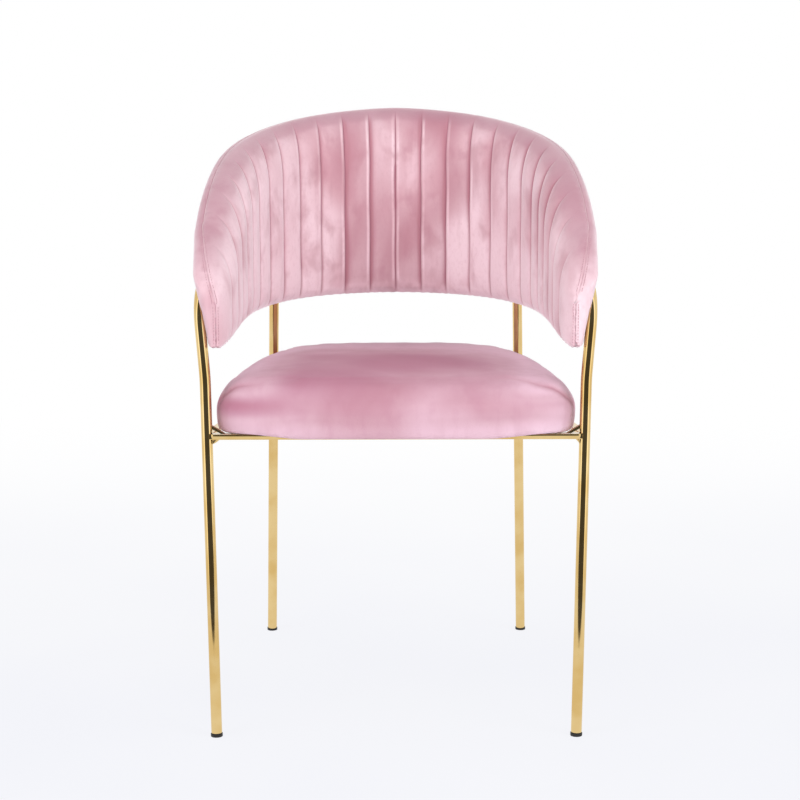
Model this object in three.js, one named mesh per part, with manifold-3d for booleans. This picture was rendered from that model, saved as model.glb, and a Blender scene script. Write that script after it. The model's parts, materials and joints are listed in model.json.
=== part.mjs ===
// Armchair with a channelled wrap-around back, carried by two bent tube side frames.
// Millimetres, +Z up. The seat faces -Y and the chair is symmetric about the YZ plane.
// Depths are measured back from the front feet, and the finished chair is centred at the end.

import * as THREE from 'three';
import { mergeVertices } from 'three/addons/utils/BufferGeometryUtils.js';
import Module from 'manifold-3d';

const wasm = await Module();
wasm.setup();

// Fits
const fitGap = 0.3; // left between two pieces that touch
const cutOverrun = 3; // how far a cutter runs past the face it cuts

// Side frame tube
const tubeDiameter = 15;
const tubeWall = 1.2;
const frontFootSpread = 497; // between the left and right tube centres
const rearFootSpread = 416;
const footDepth = 508; // front foot to rear foot
const kneeSpread = 510;
const kneeHeight = 500; // where the front leg starts to lean outward
const kneeRadius = 260;
const archHeight = 622; // tube centre along the arms
const archFrontOutset = 35.4; // front corner's place, outward from the arm's front end
const archFrontSetback = 11.5; // and back from it
const archFrontRadius = 55;
const archRearSpread = 376;
const archRearDepth = 386;
const archRearRadius = 77;
const archSweepRadius = 420;
const archPress = 3; // how far the tube presses into the outer panel
const archTouchRuns = [262, 342]; // where it bends, along the back's plan curve from its middle

// Foot plugs
const plugCapDiameter = 16.6;
const plugCapHeight = 5;
const plugCapRound = 1.2;
const plugStemLength = 22;

// Seat rails, flat bars lying flat
const railTop = 424.2;
const railThickness = 4.5;
const railWidth = 14;
const railEdgeRound = 0.9;
const weldLeg = 9; // fillet under each end of the front rail
const weldWidth = 5;
const gussetRise = 13; // strap from each front leg down to the front rail
const gussetReach = 17;
const gussetThickness = 2.6;
const gussetWidth = 7;

// Corner plates that take the seat screws
const cornerPlateThickness = 3;
const cornerPlateStart = 80; // along each rail from their inner corner
const cornerPlateWidth = 32;

// Seat
const seatWidth = 486;
const seatFront = -21; // depth of the front face
const seatRear = 441;
const seatSideHeight = 66; // underside to the crease along the top
const seatCrown = 10;
const seatLowerDraw = 6; // how far the sides draw in to the lower edge
const seatUpperDraw = 24; // and to the crease
const seatBoardInset = 17;
const seatBoardThickness = 12;
const dustClothInset = 22;
const dustClothThickness = 0.8;

// Plan curve of the back at the inner face, as arcs from the middle of the back to an arm's front
const backDepth = 376;
const centreArcRadius = 285;
const centreArcRun = 78;
const cornerArcRadius = 150;
const cornerArcRun = 102;
const sideArcRadius = 260;
const sideArcRun = 118;
const armArcRadius = 970;
const armArcRun = 120;
const flareArcRadius = 400;
const flareArcRun = 90;

// Heights and section of the back
const backTopHeight = 861.6;
const armFrontHeight = 600; // top of the straight front edge of an arm
const lowerEdgeHeight = 578;
const lowerEdgeDrop = 39.5; // from the middle of the back to an arm's front
const lowerThickness = 27;
const upperThickness = 60;
const frontThickness = 33; // at the top of an arm's front edge
const frontLowerThickness = 20; // and at its foot
const frontSlantRun = 60; // over which the front edge turns to face forward
const topRollDepth = 45; // the pad rolls outward to its seam along the top
const topRollHeight = 80;
const frontRollDepth = 7;
const frontRollRun = 24;
const lowerRollDepth = 10;
const lowerRollHeight = 40;
const frontLowerRollHeight = 6; // of both lower rolls at an arm's front
const outerRollHeight = 14;
const outerFrontRun = 18;
const outerLowerHeight = 15;
const seamEdge = 1.2; // thickness of pad and panel at their common seam
const channelRise = 4;
const backBoardThickness = 6;
const boardTopInset = 26;
const boardLowerInset = 12;
const boardFrontInset = 23;

// Screws and tee nuts
const backScrewRuns = [266, 342, 396]; // along the back's plan curve, from its middle
const screwDiameter = 6;
const screwClearance = 0.6;
const screwHeadDiameter = 11;
const screwHeadHeight = 3.4;
const screwSocketDiameter = 4.6;
const screwSocketDepth = 2;
const nutBarrelDiameter = 8.4;
const nutFlangeDiameter = 17;
const nutFlangeThickness = 1.2;

// Counts and shares
const channelsPerSide = 13;
const columnsPerChannel = 3;
const tubeSides = 16;
const boreSides = 8;
const roundSides = 16;
const fastenerSides = 10;
const seatColumns = 56;
const screwHeadShares = [[0.62, 1], [0.9, 0.7], [1, 0.35], [1, 0]]; // [share of the radius, of the height]
const screwPointShare = 0.25;
const bendStep = THREE.MathUtils.degToRad(16);
const taperStartShare = 0.89; // where the section starts to thin towards the arm's front
const taperShape = 0.65;
const outwardTieShare = 0.001; // weight of a point's distance outward against its height
const frontSlantShare = 0.5; // how far the front edge reaches forward, as a share of the offset
const boardDepthShare = 0.5; // of the thickness, where the board's inner face lies
const topRollShare = 0.5; // the most of the back's height that each roll takes
const lowerRollShare = 0.33;
const outerRollShare = 0.25;
const frontColumnShare = 0.17; // of the outer front roll, where the last column stands
const columnMergeShare = 0.25; // of a column, under which two columns become one
const ridgeShape = { inner: 1.67, outer: 1.75 }; // exponents of the top edge's curve
const lowerShape = 1.75;
const seatOutlineShares = [
  // [share of half the width, share of the depth], from the middle of the front edge
  [0, 0], [0.3, 0], [0.6, 0.001], [0.81, 0.008], [0.925, 0.03], [0.985, 0.078], [1, 0.145], [0.985, 0.25],
  [0.955, 0.42], [0.9, 0.636], [0.83, 0.77], [0.72, 0.88], [0.57, 0.945], [0.39, 0.98], [0.2, 0.996], [0, 1],
];
// [share of the side height, share of the draw] up the sides, below and above the widest line
const seatLowerShares = [[0, 1], [0.12, 0.4], [0.35, 0]];
const seatUpperShares = [[0.56, 0], [0.74, 0.22], [0.86, 0.48], [0.95, 0.74], [1, 1]];
// [size of the outline, share of the crown] from the crease to the middle
const seatCrownShares = [[0.93, 0.3], [0.76, 0.65], [0.5, 0.9], [0.2, 1]];

// Finishes
const goldTube = new THREE.MeshStandardMaterial({ color: 0xd9ad57, roughness: 0.14, metalness: 1 });
const blackPlastic = new THREE.MeshStandardMaterial({ color: 0x16161a, roughness: 0.5, metalness: 0 });
const pinkVelvet = new THREE.MeshStandardMaterial({ color: 0xd9a3b1, roughness: 0.85, metalness: 0 });
const plywood = new THREE.MeshStandardMaterial({ color: 0xc79d68, roughness: 0.7, metalness: 0 });
const dustCloth = new THREE.MeshStandardMaterial({ color: 0x1d1d20, roughness: 0.95, metalness: 0 });
const zincSteel = new THREE.MeshStandardMaterial({ color: 0xb9bcc0, roughness: 0.35, metalness: 1 });

const tubeRadius = tubeDiameter / 2;
const railMiddle = railTop - railThickness / 2;
const chair = new THREE.Group();

function addPiece(name, geometry, material) {
  const piece = new THREE.Mesh(geometry, material);
  piece.name = name;
  chair.add(piece);
}

// Solids for cutting

// Only the places of a shape's corners, each corner once
function merged(geometry) {
  const bare = geometry.clone();
  bare.deleteAttribute('normal');
  bare.deleteAttribute('uv');
  return mergeVertices(bare);
}

function toSolid(geometry) {
  const shape = merged(geometry);
  const vertProperties = new Float32Array(shape.attributes.position.array);
  const triVerts = new Uint32Array(shape.index.array);
  return new wasm.Manifold(new wasm.Mesh({ numProp: 3, vertProperties, triVerts }));
}

function fromSolid(solid) {
  const mesh = solid.getMesh();
  const geometry = new THREE.BufferGeometry();
  geometry.setAttribute('position', new THREE.BufferAttribute(mesh.vertProperties, 3));
  geometry.setIndex(new THREE.BufferAttribute(mesh.triVerts, 1));
  geometry.computeVertexNormals();
  return geometry;
}

function cut(solid, cutters) {
  return cutters.reduce((rest, cutter) => rest.subtract(toSolid(cutter)), solid);
}

function mirrored(geometry) {
  const copy = merged(geometry);
  copy.scale(-1, 1, 1);
  const flipped = [];
  for (let i = 0; i < copy.index.count; i += 3) {
    flipped.push(copy.index.getX(i), copy.index.getX(i + 2), copy.index.getX(i + 1));
  }
  copy.setIndex(flipped);
  copy.computeVertexNormals();
  return copy;
}

// A closed surface from rings of points: rows of one length, closed in themselves, capped at both ends.
// Each quad is split from its higher corner on one ring to its lower corner on the next, or from its outer to
// its inner one, whichever way the rings turn, so that the faces of two pieces that lie together stay parallel.
function loftRings(rings) {
  const positions = rings.flat().flatMap((point) => point.toArray());
  const size = rings[0].length;
  const index = [];
  for (let r = 0; r < rings.length - 1; r += 1) {
    for (let i = 0; i < size; i += 1) {
      const next = (i + 1) % size;
      const a = r * size + i;
      const b = r * size + next;
      const rising = rank(rings[r][next]) > rank(rings[r][i]);
      if (rising) index.push(a, b, a + size, b, b + size, a + size);
      else index.push(a, b, b + size, a, b + size, a + size);
    }
  }
  const last = (rings.length - 1) * size;
  capTriangles(rings[0]).forEach(([a, b, c]) => index.push(a, c, b));
  capTriangles(rings.at(-1)).forEach(([a, b, c]) => index.push(last + a, last + b, last + c));
  const geometry = new THREE.BufferGeometry();
  geometry.setAttribute('position', new THREE.Float32BufferAttribute(positions, 3));
  geometry.setIndex(index);
  geometry.computeVertexNormals();
  return geometry;
}

function rank(point) {
  return point.z + outwardTieShare * Math.hypot(point.x, point.y);
}

// Triangles over a flat ring, turning the way the ring turns
function capTriangles(ring) {
  const normal = new THREE.Vector3();
  ring.forEach((point, i) => normal.add(new THREE.Vector3().crossVectors(point, ring[(i + 1) % ring.length])));
  normal.normalize();
  const across = ring[1].clone().sub(ring[0]).cross(normal).normalize();
  const along = new THREE.Vector3().crossVectors(normal, across);
  const outline = ring.map((point) => new THREE.Vector2(point.dot(across), point.dot(along)));
  return THREE.ShapeUtils.triangulateShape(outline, []).map(([a, b, c]) => {
    const turn = outline[b].clone().sub(outline[a]).cross(outline[c].clone().sub(outline[a]));
    return turn > 0 ? [a, b, c] : [a, c, b];
  });
}

// A cylinder of the given radius from one point to another
function rod(from, to, radius, sides = roundSides) {
  const length = from.distanceTo(to);
  const geometry = new THREE.CylinderGeometry(radius, radius, length, sides);
  geometry.translate(0, length / 2, 0);
  return aimed(geometry, from, to);
}

// Turns a shape built along +Y so that it starts at one point and runs towards another
function aimed(geometry, from, to) {
  const direction = to.clone().sub(from).normalize();
  geometry.applyQuaternion(new THREE.Quaternion().setFromUnitVectors(new THREE.Vector3(0, 1, 0), direction));
  geometry.translate(from.x, from.y, from.z);
  return geometry;
}

function block(low, high) {
  const size = high.clone().sub(low);
  const geometry = new THREE.BoxGeometry(size.x, size.y, size.z);
  geometry.translate((low.x + high.x) / 2, (low.y + high.y) / 2, (low.z + high.z) / 2);
  return geometry;
}

// Plan of the back

const planArcs = [
  { radius: centreArcRadius, run: centreArcRun },
  { radius: cornerArcRadius, run: cornerArcRun },
  { radius: sideArcRadius, run: sideArcRun },
  { radius: armArcRadius, run: armArcRun },
  { radius: -flareArcRadius, run: flareArcRun },
];

const planLength = planArcs.reduce((sum, arc) => sum + arc.run, 0);

function offsetLength(arc, offset) {
  return ((arc.radius + offset) * arc.run) / arc.radius;
}

// Point and outward normal at a run along the inner plan curve, moved outward by an offset
function planAtRun(run, offset) {
  const side = Math.sign(run) || 1;
  let left = Math.abs(run);
  let heading = 0;
  let x = 0;
  let y = backDepth;
  for (const arc of planArcs) {
    const part = Math.min(arc.run, left);
    const next = heading + part / arc.radius;
    x += arc.radius * (Math.sin(next) - Math.sin(heading));
    y += arc.radius * (Math.cos(next) - Math.cos(heading));
    heading = next;
    left -= part;
  }
  x += left * Math.cos(heading);
  y -= left * Math.sin(heading);
  const normal = new THREE.Vector2(side * Math.sin(heading), Math.cos(heading));
  return { point: new THREE.Vector2(side * x, y).addScaledVector(normal, offset), normal };
}

// The same at a share of the offset curve's own length, so that channels spread where it is longer
function planAtShare(share, offset) {
  const total = planArcs.reduce((sum, arc) => sum + offsetLength(arc, offset), 0);
  let left = Math.abs(share) * total;
  let run = 0;
  for (const arc of planArcs) {
    const length = offsetLength(arc, offset);
    const part = Math.min(length, left);
    run += (part * arc.run) / length;
    left -= part;
  }
  const slant = Math.max(0, 1 - frontDistance(share) / frontSlantRun);
  run += frontSlantShare * offset * slant;
  return planAtRun((Math.sign(share) || 1) * run, offset).point;
}

// Section of the back

function ridgeHeight(share) {
  const rise = backTopHeight - armFrontHeight;
  return armFrontHeight + rise * (1 - Math.abs(share) ** ridgeShape.inner) ** (1 / ridgeShape.outer);
}

function lowerHeight(share) {
  return lowerEdgeHeight - lowerEdgeDrop * Math.abs(share) ** lowerShape;
}

// 1 over most of the back, falling to 0 at the front of an arm
function fullness(share) {
  return Math.min(1, (1 - Math.abs(share)) / (1 - taperStartShare)) ** taperShape;
}

function frontDistance(share) {
  return (1 - Math.abs(share)) * planLength;
}

function heightShare(share, height) {
  return (height - lowerHeight(share)) / (ridgeHeight(share) - lowerHeight(share));
}

function thicknessAt(share, height) {
  const upper = THREE.MathUtils.lerp(frontThickness, upperThickness, fullness(share));
  const lower = THREE.MathUtils.lerp(frontLowerThickness, lowerThickness, fullness(share));
  return THREE.MathUtils.lerp(lower, upper, heightShare(share, height));
}

// Quarter ellipse: the depth left at a distance from the edge, from the whole depth to nothing
function rolled(depth, distance, reach) {
  const inside = Math.max(0, 1 - distance / reach);
  return depth * (1 - Math.sqrt(1 - inside * inside));
}

function topRoll(share) {
  const full = fullness(share);
  return {
    depth: THREE.MathUtils.lerp(frontRollDepth, topRollDepth, full),
    height: THREE.MathUtils.lerp(frontRollRun, topRollHeight, full),
  };
}

function lowerRollReach(share) {
  return THREE.MathUtils.lerp(frontLowerRollHeight, lowerRollHeight, fullness(share));
}

function outerLowerReach(share) {
  return THREE.MathUtils.lerp(frontLowerRollHeight, outerLowerHeight, fullness(share));
}

function channelBulge(share) {
  const across = Math.abs(Math.sin(Math.PI * channelsPerSide * share));
  return channelRise * Math.sqrt(across) * fullness(share);
}

function innerOffset(share, height) {
  const top = topRoll(share);
  const toTop = ridgeHeight(share) - height;
  const toLower = height - lowerHeight(share);
  const roll = Math.max(
    rolled(top.depth, toTop, top.height),
    rolled(frontRollDepth, frontDistance(share), frontRollRun),
    rolled(lowerRollDepth, toLower, lowerRollReach(share)),
  );
  const flat = Math.min(1, toTop / top.height, toLower / lowerRollReach(share));
  return roll - channelBulge(share) * flat;
}

function outerOffset(share, height) {
  const full = thicknessAt(share, height);
  const top = topRoll(share).depth + seamEdge + seamEdge + fitGap;
  const front = frontRollDepth + seamEdge + seamEdge + fitGap;
  const lower = lowerRollDepth + seamEdge + seamEdge + fitGap;
  return full - Math.max(
    rolled(full - top, ridgeHeight(share) - height, outerRollHeight),
    rolled(full - front, frontDistance(share), outerFrontRun),
    rolled(full - lower, height - lowerHeight(share), outerLowerReach(share)),
  );
}

function boardInnerOffset(share, height) {
  return boardDepthShare * thicknessAt(share, height);
}

function shellPoint(share, offset, height) {
  const place = planAtShare(share, offset);
  return new THREE.Vector3(place.x, place.y, height);
}

const boardEndShare = 1 - boardFrontInset / planLength;
const pocketEndShare = boardEndShare + fitGap / planLength;

function boardTop(share) {
  return ridgeHeight(share) - boardTopInset;
}

function boardLower(share) {
  return lowerHeight(share) + boardLowerInset;
}

// Columns: every channel in equal parts, with more at the arm's front and at the board's end
function columnShares(limitShare) {
  const count = channelsPerSide * columnsPerChannel;
  const half = [];
  for (let i = 1; i <= count; i += 1) half.push(i / count);
  const lastShare = 1 - (frontColumnShare * outerFrontRun) / planLength;
  const extra = [lastShare, boardEndShare, pocketEndShare];
  const near = columnMergeShare / count;
  const kept = half.filter((share) => extra.every((other) => Math.abs(other - share) > near));
  const right = [...kept, ...extra].filter((share) => share <= limitShare).sort((a, b) => a - b);
  return [...right.map((share) => -share).reverse(), 0, ...right];
}

function padRing(share) {
  const top = topRoll(share);
  const ridge = ridgeHeight(share);
  const lower = lowerHeight(share);
  const turns = [0, 1 / 4, 1 / 2, 3 / 4, 1].map((part) => 1 - Math.cos((part * Math.PI) / 2));
  const topRun = Math.min(top.height, topRollShare * (ridge - lower));
  const lowerRun = Math.min(lowerRollReach(share), lowerRollShare * (ridge - lower));
  const heights = turns.map((turn) => ridge - turn * topRun);
  heights.push((ridge - topRun + lower + lowerRun) / 2);
  [3, 2, 0].forEach((k) => heights.push(lower + turns[k] * lowerRun));
  const face = heights.map((height) => shellPoint(share, innerOffset(share, height), height));
  const upper = boardTop(share);
  const under = boardLower(share);
  return [
    ...face,
    shellPoint(share, innerOffset(share, lower) + seamEdge, lower),
    shellPoint(share, padBackOffset(share, under), under),
    shellPoint(share, padBackOffset(share, upper), upper),
    shellPoint(share, innerOffset(share, ridge) + seamEdge, ridge),
  ];
}

// The pad's hidden face: against the board, and closing on the seam at the arm's front
function padBackOffset(share, height) {
  const clear = boardInnerOffset(share, height) - fitGap;
  return clear - rolled(clear - frontRollDepth - seamEdge, frontDistance(share), boardFrontInset);
}

function panelRing(share) {
  const ridge = ridgeHeight(share);
  const lower = lowerHeight(share);
  const upper = boardTop(share);
  const under = boardLower(share);
  const inPocket = Math.abs(share) <= pocketEndShare;
  const depth = (height) => (inPocket
    ? boardInnerOffset(share, height) + backBoardThickness + fitGap
    : padBackOffset(share, height) + fitGap + fitGap);
  const turns = [0, 1 / 2, 1].map((part) => 1 - Math.cos((part * Math.PI) / 2));
  const topRun = Math.min(outerRollHeight, outerRollShare * (ridge - lower));
  const lowerRun = Math.min(outerLowerReach(share), outerRollShare * (ridge - lower));
  const heights = turns.map((turn) => ridge - turn * topRun);
  heights.push((ridge + lower) / 2);
  [2, 1, 0].forEach((k) => heights.push(lower + turns[k] * lowerRun));
  const outside = heights.map((height) => shellPoint(share, outerOffset(share, height), height));
  return [
    ...outside.reverse(),
    shellPoint(share, innerOffset(share, ridge) + seamEdge + fitGap, ridge),
    shellPoint(share, padBackOffset(share, upper) + fitGap, upper + fitGap),
    shellPoint(share, depth(upper), upper + fitGap),
    shellPoint(share, depth(under), under - fitGap),
    shellPoint(share, padBackOffset(share, under) + fitGap, under - fitGap),
    shellPoint(share, innerOffset(share, lower) + seamEdge + fitGap, lower),
  ];
}

function boardRing(share) {
  const upper = boardTop(share);
  const under = boardLower(share);
  return [
    shellPoint(share, boardInnerOffset(share, upper), upper),
    shellPoint(share, boardInnerOffset(share, under), under),
    shellPoint(share, boardInnerOffset(share, under) + backBoardThickness, under),
    shellPoint(share, boardInnerOffset(share, upper) + backBoardThickness, upper),
  ];
}

// Side frame path

// A line through corner points with round bends: places and directions at each section
class BentPath extends THREE.Curve {
  constructor(corners) {
    super();
    this.places = [corners[0].at];
    this.directions = [corners[1].at.clone().sub(corners[0].at).normalize()];
    corners.slice(1, -1).forEach((corner, i) => this.bend(corners[i].at, corner, corners[i + 2].at));
    this.places.push(corners.at(-1).at);
    this.directions.push(corners.at(-1).at.clone().sub(corners.at(-2).at).normalize());
  }

  bend(before, corner, after) {
    const arriving = corner.at.clone().sub(before).normalize();
    const leaving = after.clone().sub(corner.at).normalize();
    const angle = arriving.angleTo(leaving);
    const setback = corner.radius * Math.tan(angle / 2);
    const start = corner.at.clone().addScaledVector(arriving, -setback);
    const inward = leaving.clone().addScaledVector(arriving, -Math.cos(angle)).normalize();
    const centre = start.clone().addScaledVector(inward, corner.radius);
    const steps = Math.max(1, Math.ceil(angle / bendStep));
    for (let i = 0; i <= steps; i += 1) {
      const turn = (angle * i) / steps;
      const place = centre.clone();
      place.addScaledVector(inward, -corner.radius * Math.cos(turn));
      place.addScaledVector(arriving, corner.radius * Math.sin(turn));
      const direction = arriving.clone().multiplyScalar(Math.cos(turn));
      this.places.push(place);
      this.directions.push(direction.addScaledVector(inward, Math.sin(turn)));
    }
  }

  get sections() {
    return this.places.length - 1;
  }

  getPointAt(u) {
    return this.places[Math.round(u * this.sections)].clone();
  }

  getTangentAt(u) {
    return this.directions[Math.round(u * this.sections)].clone();
  }
}

const frontFoot = new THREE.Vector3(frontFootSpread / 2, 0, 0);
const frontKnee = new THREE.Vector3(kneeSpread / 2, 0, kneeHeight);
const rearFoot = new THREE.Vector3(rearFootSpread / 2, footDepth, 0);
const rearCorner = new THREE.Vector3(archRearSpread / 2, archRearDepth, archHeight);
const armEnd = planAtRun(planLength, 0).point;
const frontCorner = new THREE.Vector3(armEnd.x + archFrontOutset, armEnd.y + archFrontSetback, archHeight);
const frontLegDirection = frontKnee.clone().sub(frontFoot).normalize();
const rearLegDirection = rearCorner.clone().sub(rearFoot).normalize();

function tubeOffsetAt(run) {
  return thicknessAt(run / planLength, archHeight) + tubeRadius - archPress;
}

function archTouch(run) {
  const { point } = planAtRun(run, tubeOffsetAt(run));
  return new THREE.Vector3(point.x, point.y, archHeight);
}

// The tube's ends stand on the foot plugs' caps
const tubeEndRise = plugCapHeight + fitGap;
const sidePath = new BentPath([
  { at: frontFoot.clone().addScaledVector(frontLegDirection, tubeEndRise) },
  { at: frontKnee, radius: kneeRadius },
  { at: frontCorner, radius: archFrontRadius },
  ...archTouchRuns.slice().reverse().map((run) => ({ at: archTouch(run), radius: archSweepRadius })),
  { at: rearCorner, radius: archRearRadius },
  { at: rearFoot.clone().addScaledVector(rearLegDirection, tubeEndRise) },
]);

function sweptTube(radius, boreRadius) {
  const section = new THREE.Shape();
  section.absarc(0, 0, radius, 0, 2 * Math.PI);
  const outline = new THREE.Shape(section.getPoints(tubeSides / 2).slice(0, -1));
  if (boreRadius > 0) {
    const bore = new THREE.Path();
    bore.absarc(0, 0, boreRadius, 0, 2 * Math.PI, true);
    outline.holes.push(new THREE.Path(bore.getPoints(boreSides / 2).slice(0, -1)));
  }
  return new THREE.ExtrudeGeometry(outline, {
    steps: sidePath.sections,
    extrudePath: sidePath,
  });
}

// How far out the normal at a run along the plan curve crosses the tube's centre line
function tubeCrossing(run) {
  const { point, normal } = planAtRun(run, 0);
  for (let i = 0; i < sidePath.sections; i += 1) {
    const start = sidePath.places[i];
    const step = sidePath.places[i + 1].clone().sub(start);
    const across = step.x * normal.y - step.y * normal.x;
    const gap = new THREE.Vector2(start.x - point.x, start.y - point.y);
    const share = (gap.y * normal.x - gap.x * normal.y) / across;
    const offset = (gap.y * step.x - gap.x * step.y) / across;
    const level = Math.abs(start.z + step.z * share - archHeight) < tubeRadius;
    if (share >= 0 && share <= 1 && offset > 0 && level) return offset;
  }
  return tubeOffsetAt(run);
}

// Screw places along the arch, level with the tube and square to the back's plan curve
const backScrews = backScrewRuns.map((run) => {
  const { point, normal } = planAtRun(run, 0);
  const along = new THREE.Vector3(normal.x, normal.y, 0);
  const base = new THREE.Vector3(point.x, point.y, archHeight);
  return {
    run,
    tubeOffset: tubeCrossing(run),
    at: (offset) => base.clone().addScaledVector(along, offset),
  };
});

const screwHoleRadius = screwDiameter / 2 + screwClearance;
const throughTube = backScrews.map(({ tubeOffset, at }) => (
  rod(at(tubeOffset - tubeRadius - cutOverrun), at(tubeOffset + tubeRadius + cutOverrun), screwHoleRadius)
));
const rightTube = fromSolid(cut(toSolid(sweptTube(tubeRadius, tubeRadius - tubeWall)), throughTube));
addPiece('right_side_tube', rightTube, goldTube);
addPiece('left_side_tube', mirrored(rightTube), goldTube);

// Foot plugs: a cap under the tube and a stem inside it, cut level with the floor

function footPlug(foot, direction) {
  const capRadius = plugCapDiameter / 2;
  const stemRadius = (tubeRadius - tubeWall) * Math.cos(Math.PI / boreSides) - fitGap;
  const profile = [
    new THREE.Vector2(0, -plugCapHeight),
    new THREE.Vector2(capRadius, -plugCapHeight),
    new THREE.Vector2(capRadius, plugCapHeight - plugCapRound),
    new THREE.Vector2(capRadius - plugCapRound, plugCapHeight),
    new THREE.Vector2(stemRadius, plugCapHeight),
    new THREE.Vector2(stemRadius, plugCapHeight + plugStemLength - plugCapRound),
    new THREE.Vector2(stemRadius - plugCapRound, plugCapHeight + plugStemLength),
    new THREE.Vector2(0, plugCapHeight + plugStemLength),
  ];
  const plug = aimed(new THREE.LatheGeometry(profile, roundSides), foot, foot.clone().add(direction));
  const reach = new THREE.Vector3(plugCapDiameter, plugCapDiameter, 0);
  const depth = new THREE.Vector3(0, 0, plugCapDiameter + plugCapHeight);
  const floor = block(foot.clone().sub(reach).sub(depth), foot.clone().add(reach));
  return fromSolid(cut(toSolid(plug), [floor]));
}

const frontPlug = footPlug(frontFoot, frontLegDirection);
const rearPlug = footPlug(rearFoot, rearLegDirection);
addPiece('front_right_foot_plug', frontPlug, blackPlastic);
addPiece('front_left_foot_plug', mirrored(frontPlug), blackPlastic);
addPiece('rear_right_foot_plug', rearPlug, blackPlastic);
addPiece('rear_left_foot_plug', mirrored(rearPlug), blackPlastic);

// Seat rails

function onLeg(foot, direction, height) {
  return foot.clone().addScaledVector(direction, height / direction.z);
}

// A cutter round the tube near the rails, wider than the tube by the fit
function legCutter(foot, direction) {
  const low = onLeg(foot, direction, railTop - railWidth * 2);
  const high = onLeg(foot, direction, railTop + railWidth * 2);
  return rod(low, high, tubeRadius + fitGap, 2 * roundSides);
}

const frontRailEnd = onLeg(frontFoot, frontLegDirection, railMiddle);
const rearRailEnd = onLeg(rearFoot, rearLegDirection, railMiddle);
const frontLegCutter = legCutter(frontFoot, frontLegDirection);
const rearLegCutter = legCutter(rearFoot, rearLegDirection);

function flatBar(from, to, width, thickness) {
  const half = new THREE.Vector2(width / 2, thickness / 2);
  const round = railEdgeRound;
  const section = new THREE.Shape([
    new THREE.Vector2(-half.x + round, -half.y),
    new THREE.Vector2(half.x - round, -half.y),
    new THREE.Vector2(half.x, -half.y + round),
    new THREE.Vector2(half.x, half.y - round),
    new THREE.Vector2(half.x - round, half.y),
    new THREE.Vector2(-half.x + round, half.y),
    new THREE.Vector2(-half.x, half.y - round),
    new THREE.Vector2(-half.x, -half.y + round),
  ]);
  const bar = new THREE.ExtrudeGeometry(section, { depth: from.distanceTo(to), bevelEnabled: false });
  const along = to.clone().sub(from).normalize();
  const up = new THREE.Vector3(0, 0, 1);
  const across = new THREE.Vector3().crossVectors(up, along);
  bar.applyMatrix4(new THREE.Matrix4().makeBasis(across, up, along));
  bar.translate(from.x, from.y, from.z);
  return bar;
}

// A plate of the given outline in plan, from one height up
function flatPlate(outline, low, thickness) {
  const plate = new THREE.ExtrudeGeometry(outline, { depth: thickness, bevelEnabled: false });
  plate.translate(0, 0, low);
  return plate;
}

// A plate standing in the XZ plane, centred on a depth
function standingPlate(points, depth, width) {
  const plate = new THREE.ExtrudeGeometry(new THREE.Shape(points), { depth: width, bevelEnabled: false });
  plate.rotateX(Math.PI / 2);
  plate.translate(0, depth + width / 2, 0);
  return plate;
}

function mirroredEnd(end) {
  return new THREE.Vector3(-end.x, end.y, end.z);
}

// Front rail, coped to both legs, with a weld fillet under each end
const weldBottom = railTop - railThickness - weldLeg;
const weldOutline = [
  new THREE.Vector2(frontRailEnd.x, railMiddle),
  new THREE.Vector2(frontRailEnd.x, weldBottom),
  new THREE.Vector2(frontRailEnd.x - tubeRadius - fitGap, weldBottom),
  new THREE.Vector2(frontRailEnd.x - tubeRadius - weldLeg / 2, railTop - railThickness - weldLeg / 4),
  new THREE.Vector2(frontRailEnd.x - tubeRadius - weldLeg, railTop - railThickness),
  new THREE.Vector2(frontRailEnd.x - tubeRadius - weldLeg, railMiddle),
];
const weld = standingPlate(weldOutline, 0, weldWidth);
const frontBar = toSolid(flatBar(mirroredEnd(frontRailEnd), frontRailEnd, railWidth, railThickness));
const frontRail = cut(
  frontBar.add(toSolid(weld)).add(toSolid(mirrored(weld))),
  [frontLegCutter, mirrored(frontLegCutter)],
);
addPiece('front_seat_rail', fromSolid(frontRail), goldTube);

const rearBar = toSolid(flatBar(mirroredEnd(rearRailEnd), rearRailEnd, railWidth, railThickness));
addPiece('rear_seat_rail', fromSolid(cut(rearBar, [rearLegCutter, mirrored(rearLegCutter)])), goldTube);

// Side rails run between the front and rear rails' faces
function acrossCutter(end) {
  const reach = new THREE.Vector3(seatWidth, railWidth / 2 + fitGap, railWidth);
  return block(end.clone().sub(reach), end.clone().add(reach));
}

const sideBar = toSolid(flatBar(frontRailEnd, rearRailEnd, railWidth, railThickness));
const sideCutters = [frontLegCutter, rearLegCutter, acrossCutter(frontRailEnd), acrossCutter(rearRailEnd)];
const rightRail = fromSolid(cut(sideBar, sideCutters));
addPiece('right_seat_rail', rightRail, goldTube);
addPiece('left_seat_rail', mirrored(rightRail), goldTube);

// Gusset strap from each front leg down to the front rail
const gussetFoot = frontRailEnd.x - tubeRadius - gussetReach;
const gussetHead = railTop + fitGap + gussetRise;
const gusset = standingPlate([
  new THREE.Vector2(gussetFoot, railTop + fitGap),
  new THREE.Vector2(gussetFoot + gussetThickness + gussetThickness, railTop + fitGap),
  new THREE.Vector2(frontRailEnd.x, gussetHead - gussetThickness),
  new THREE.Vector2(frontRailEnd.x, gussetHead + gussetThickness),
], 0, gussetWidth);
const rightGusset = fromSolid(cut(toSolid(gusset), [frontLegCutter]));
addPiece('front_right_gusset', rightGusset, goldTube);
addPiece('front_left_gusset', mirrored(rightGusset), goldTube);

// Corner plates: a strap across each corner of the rail frame, level with the rails' tops

const sideRun = new THREE.Vector2(rearRailEnd.x - frontRailEnd.x, rearRailEnd.y - frontRailEnd.y).normalize();
const insideOffset = railWidth / 2 + fitGap;

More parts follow.
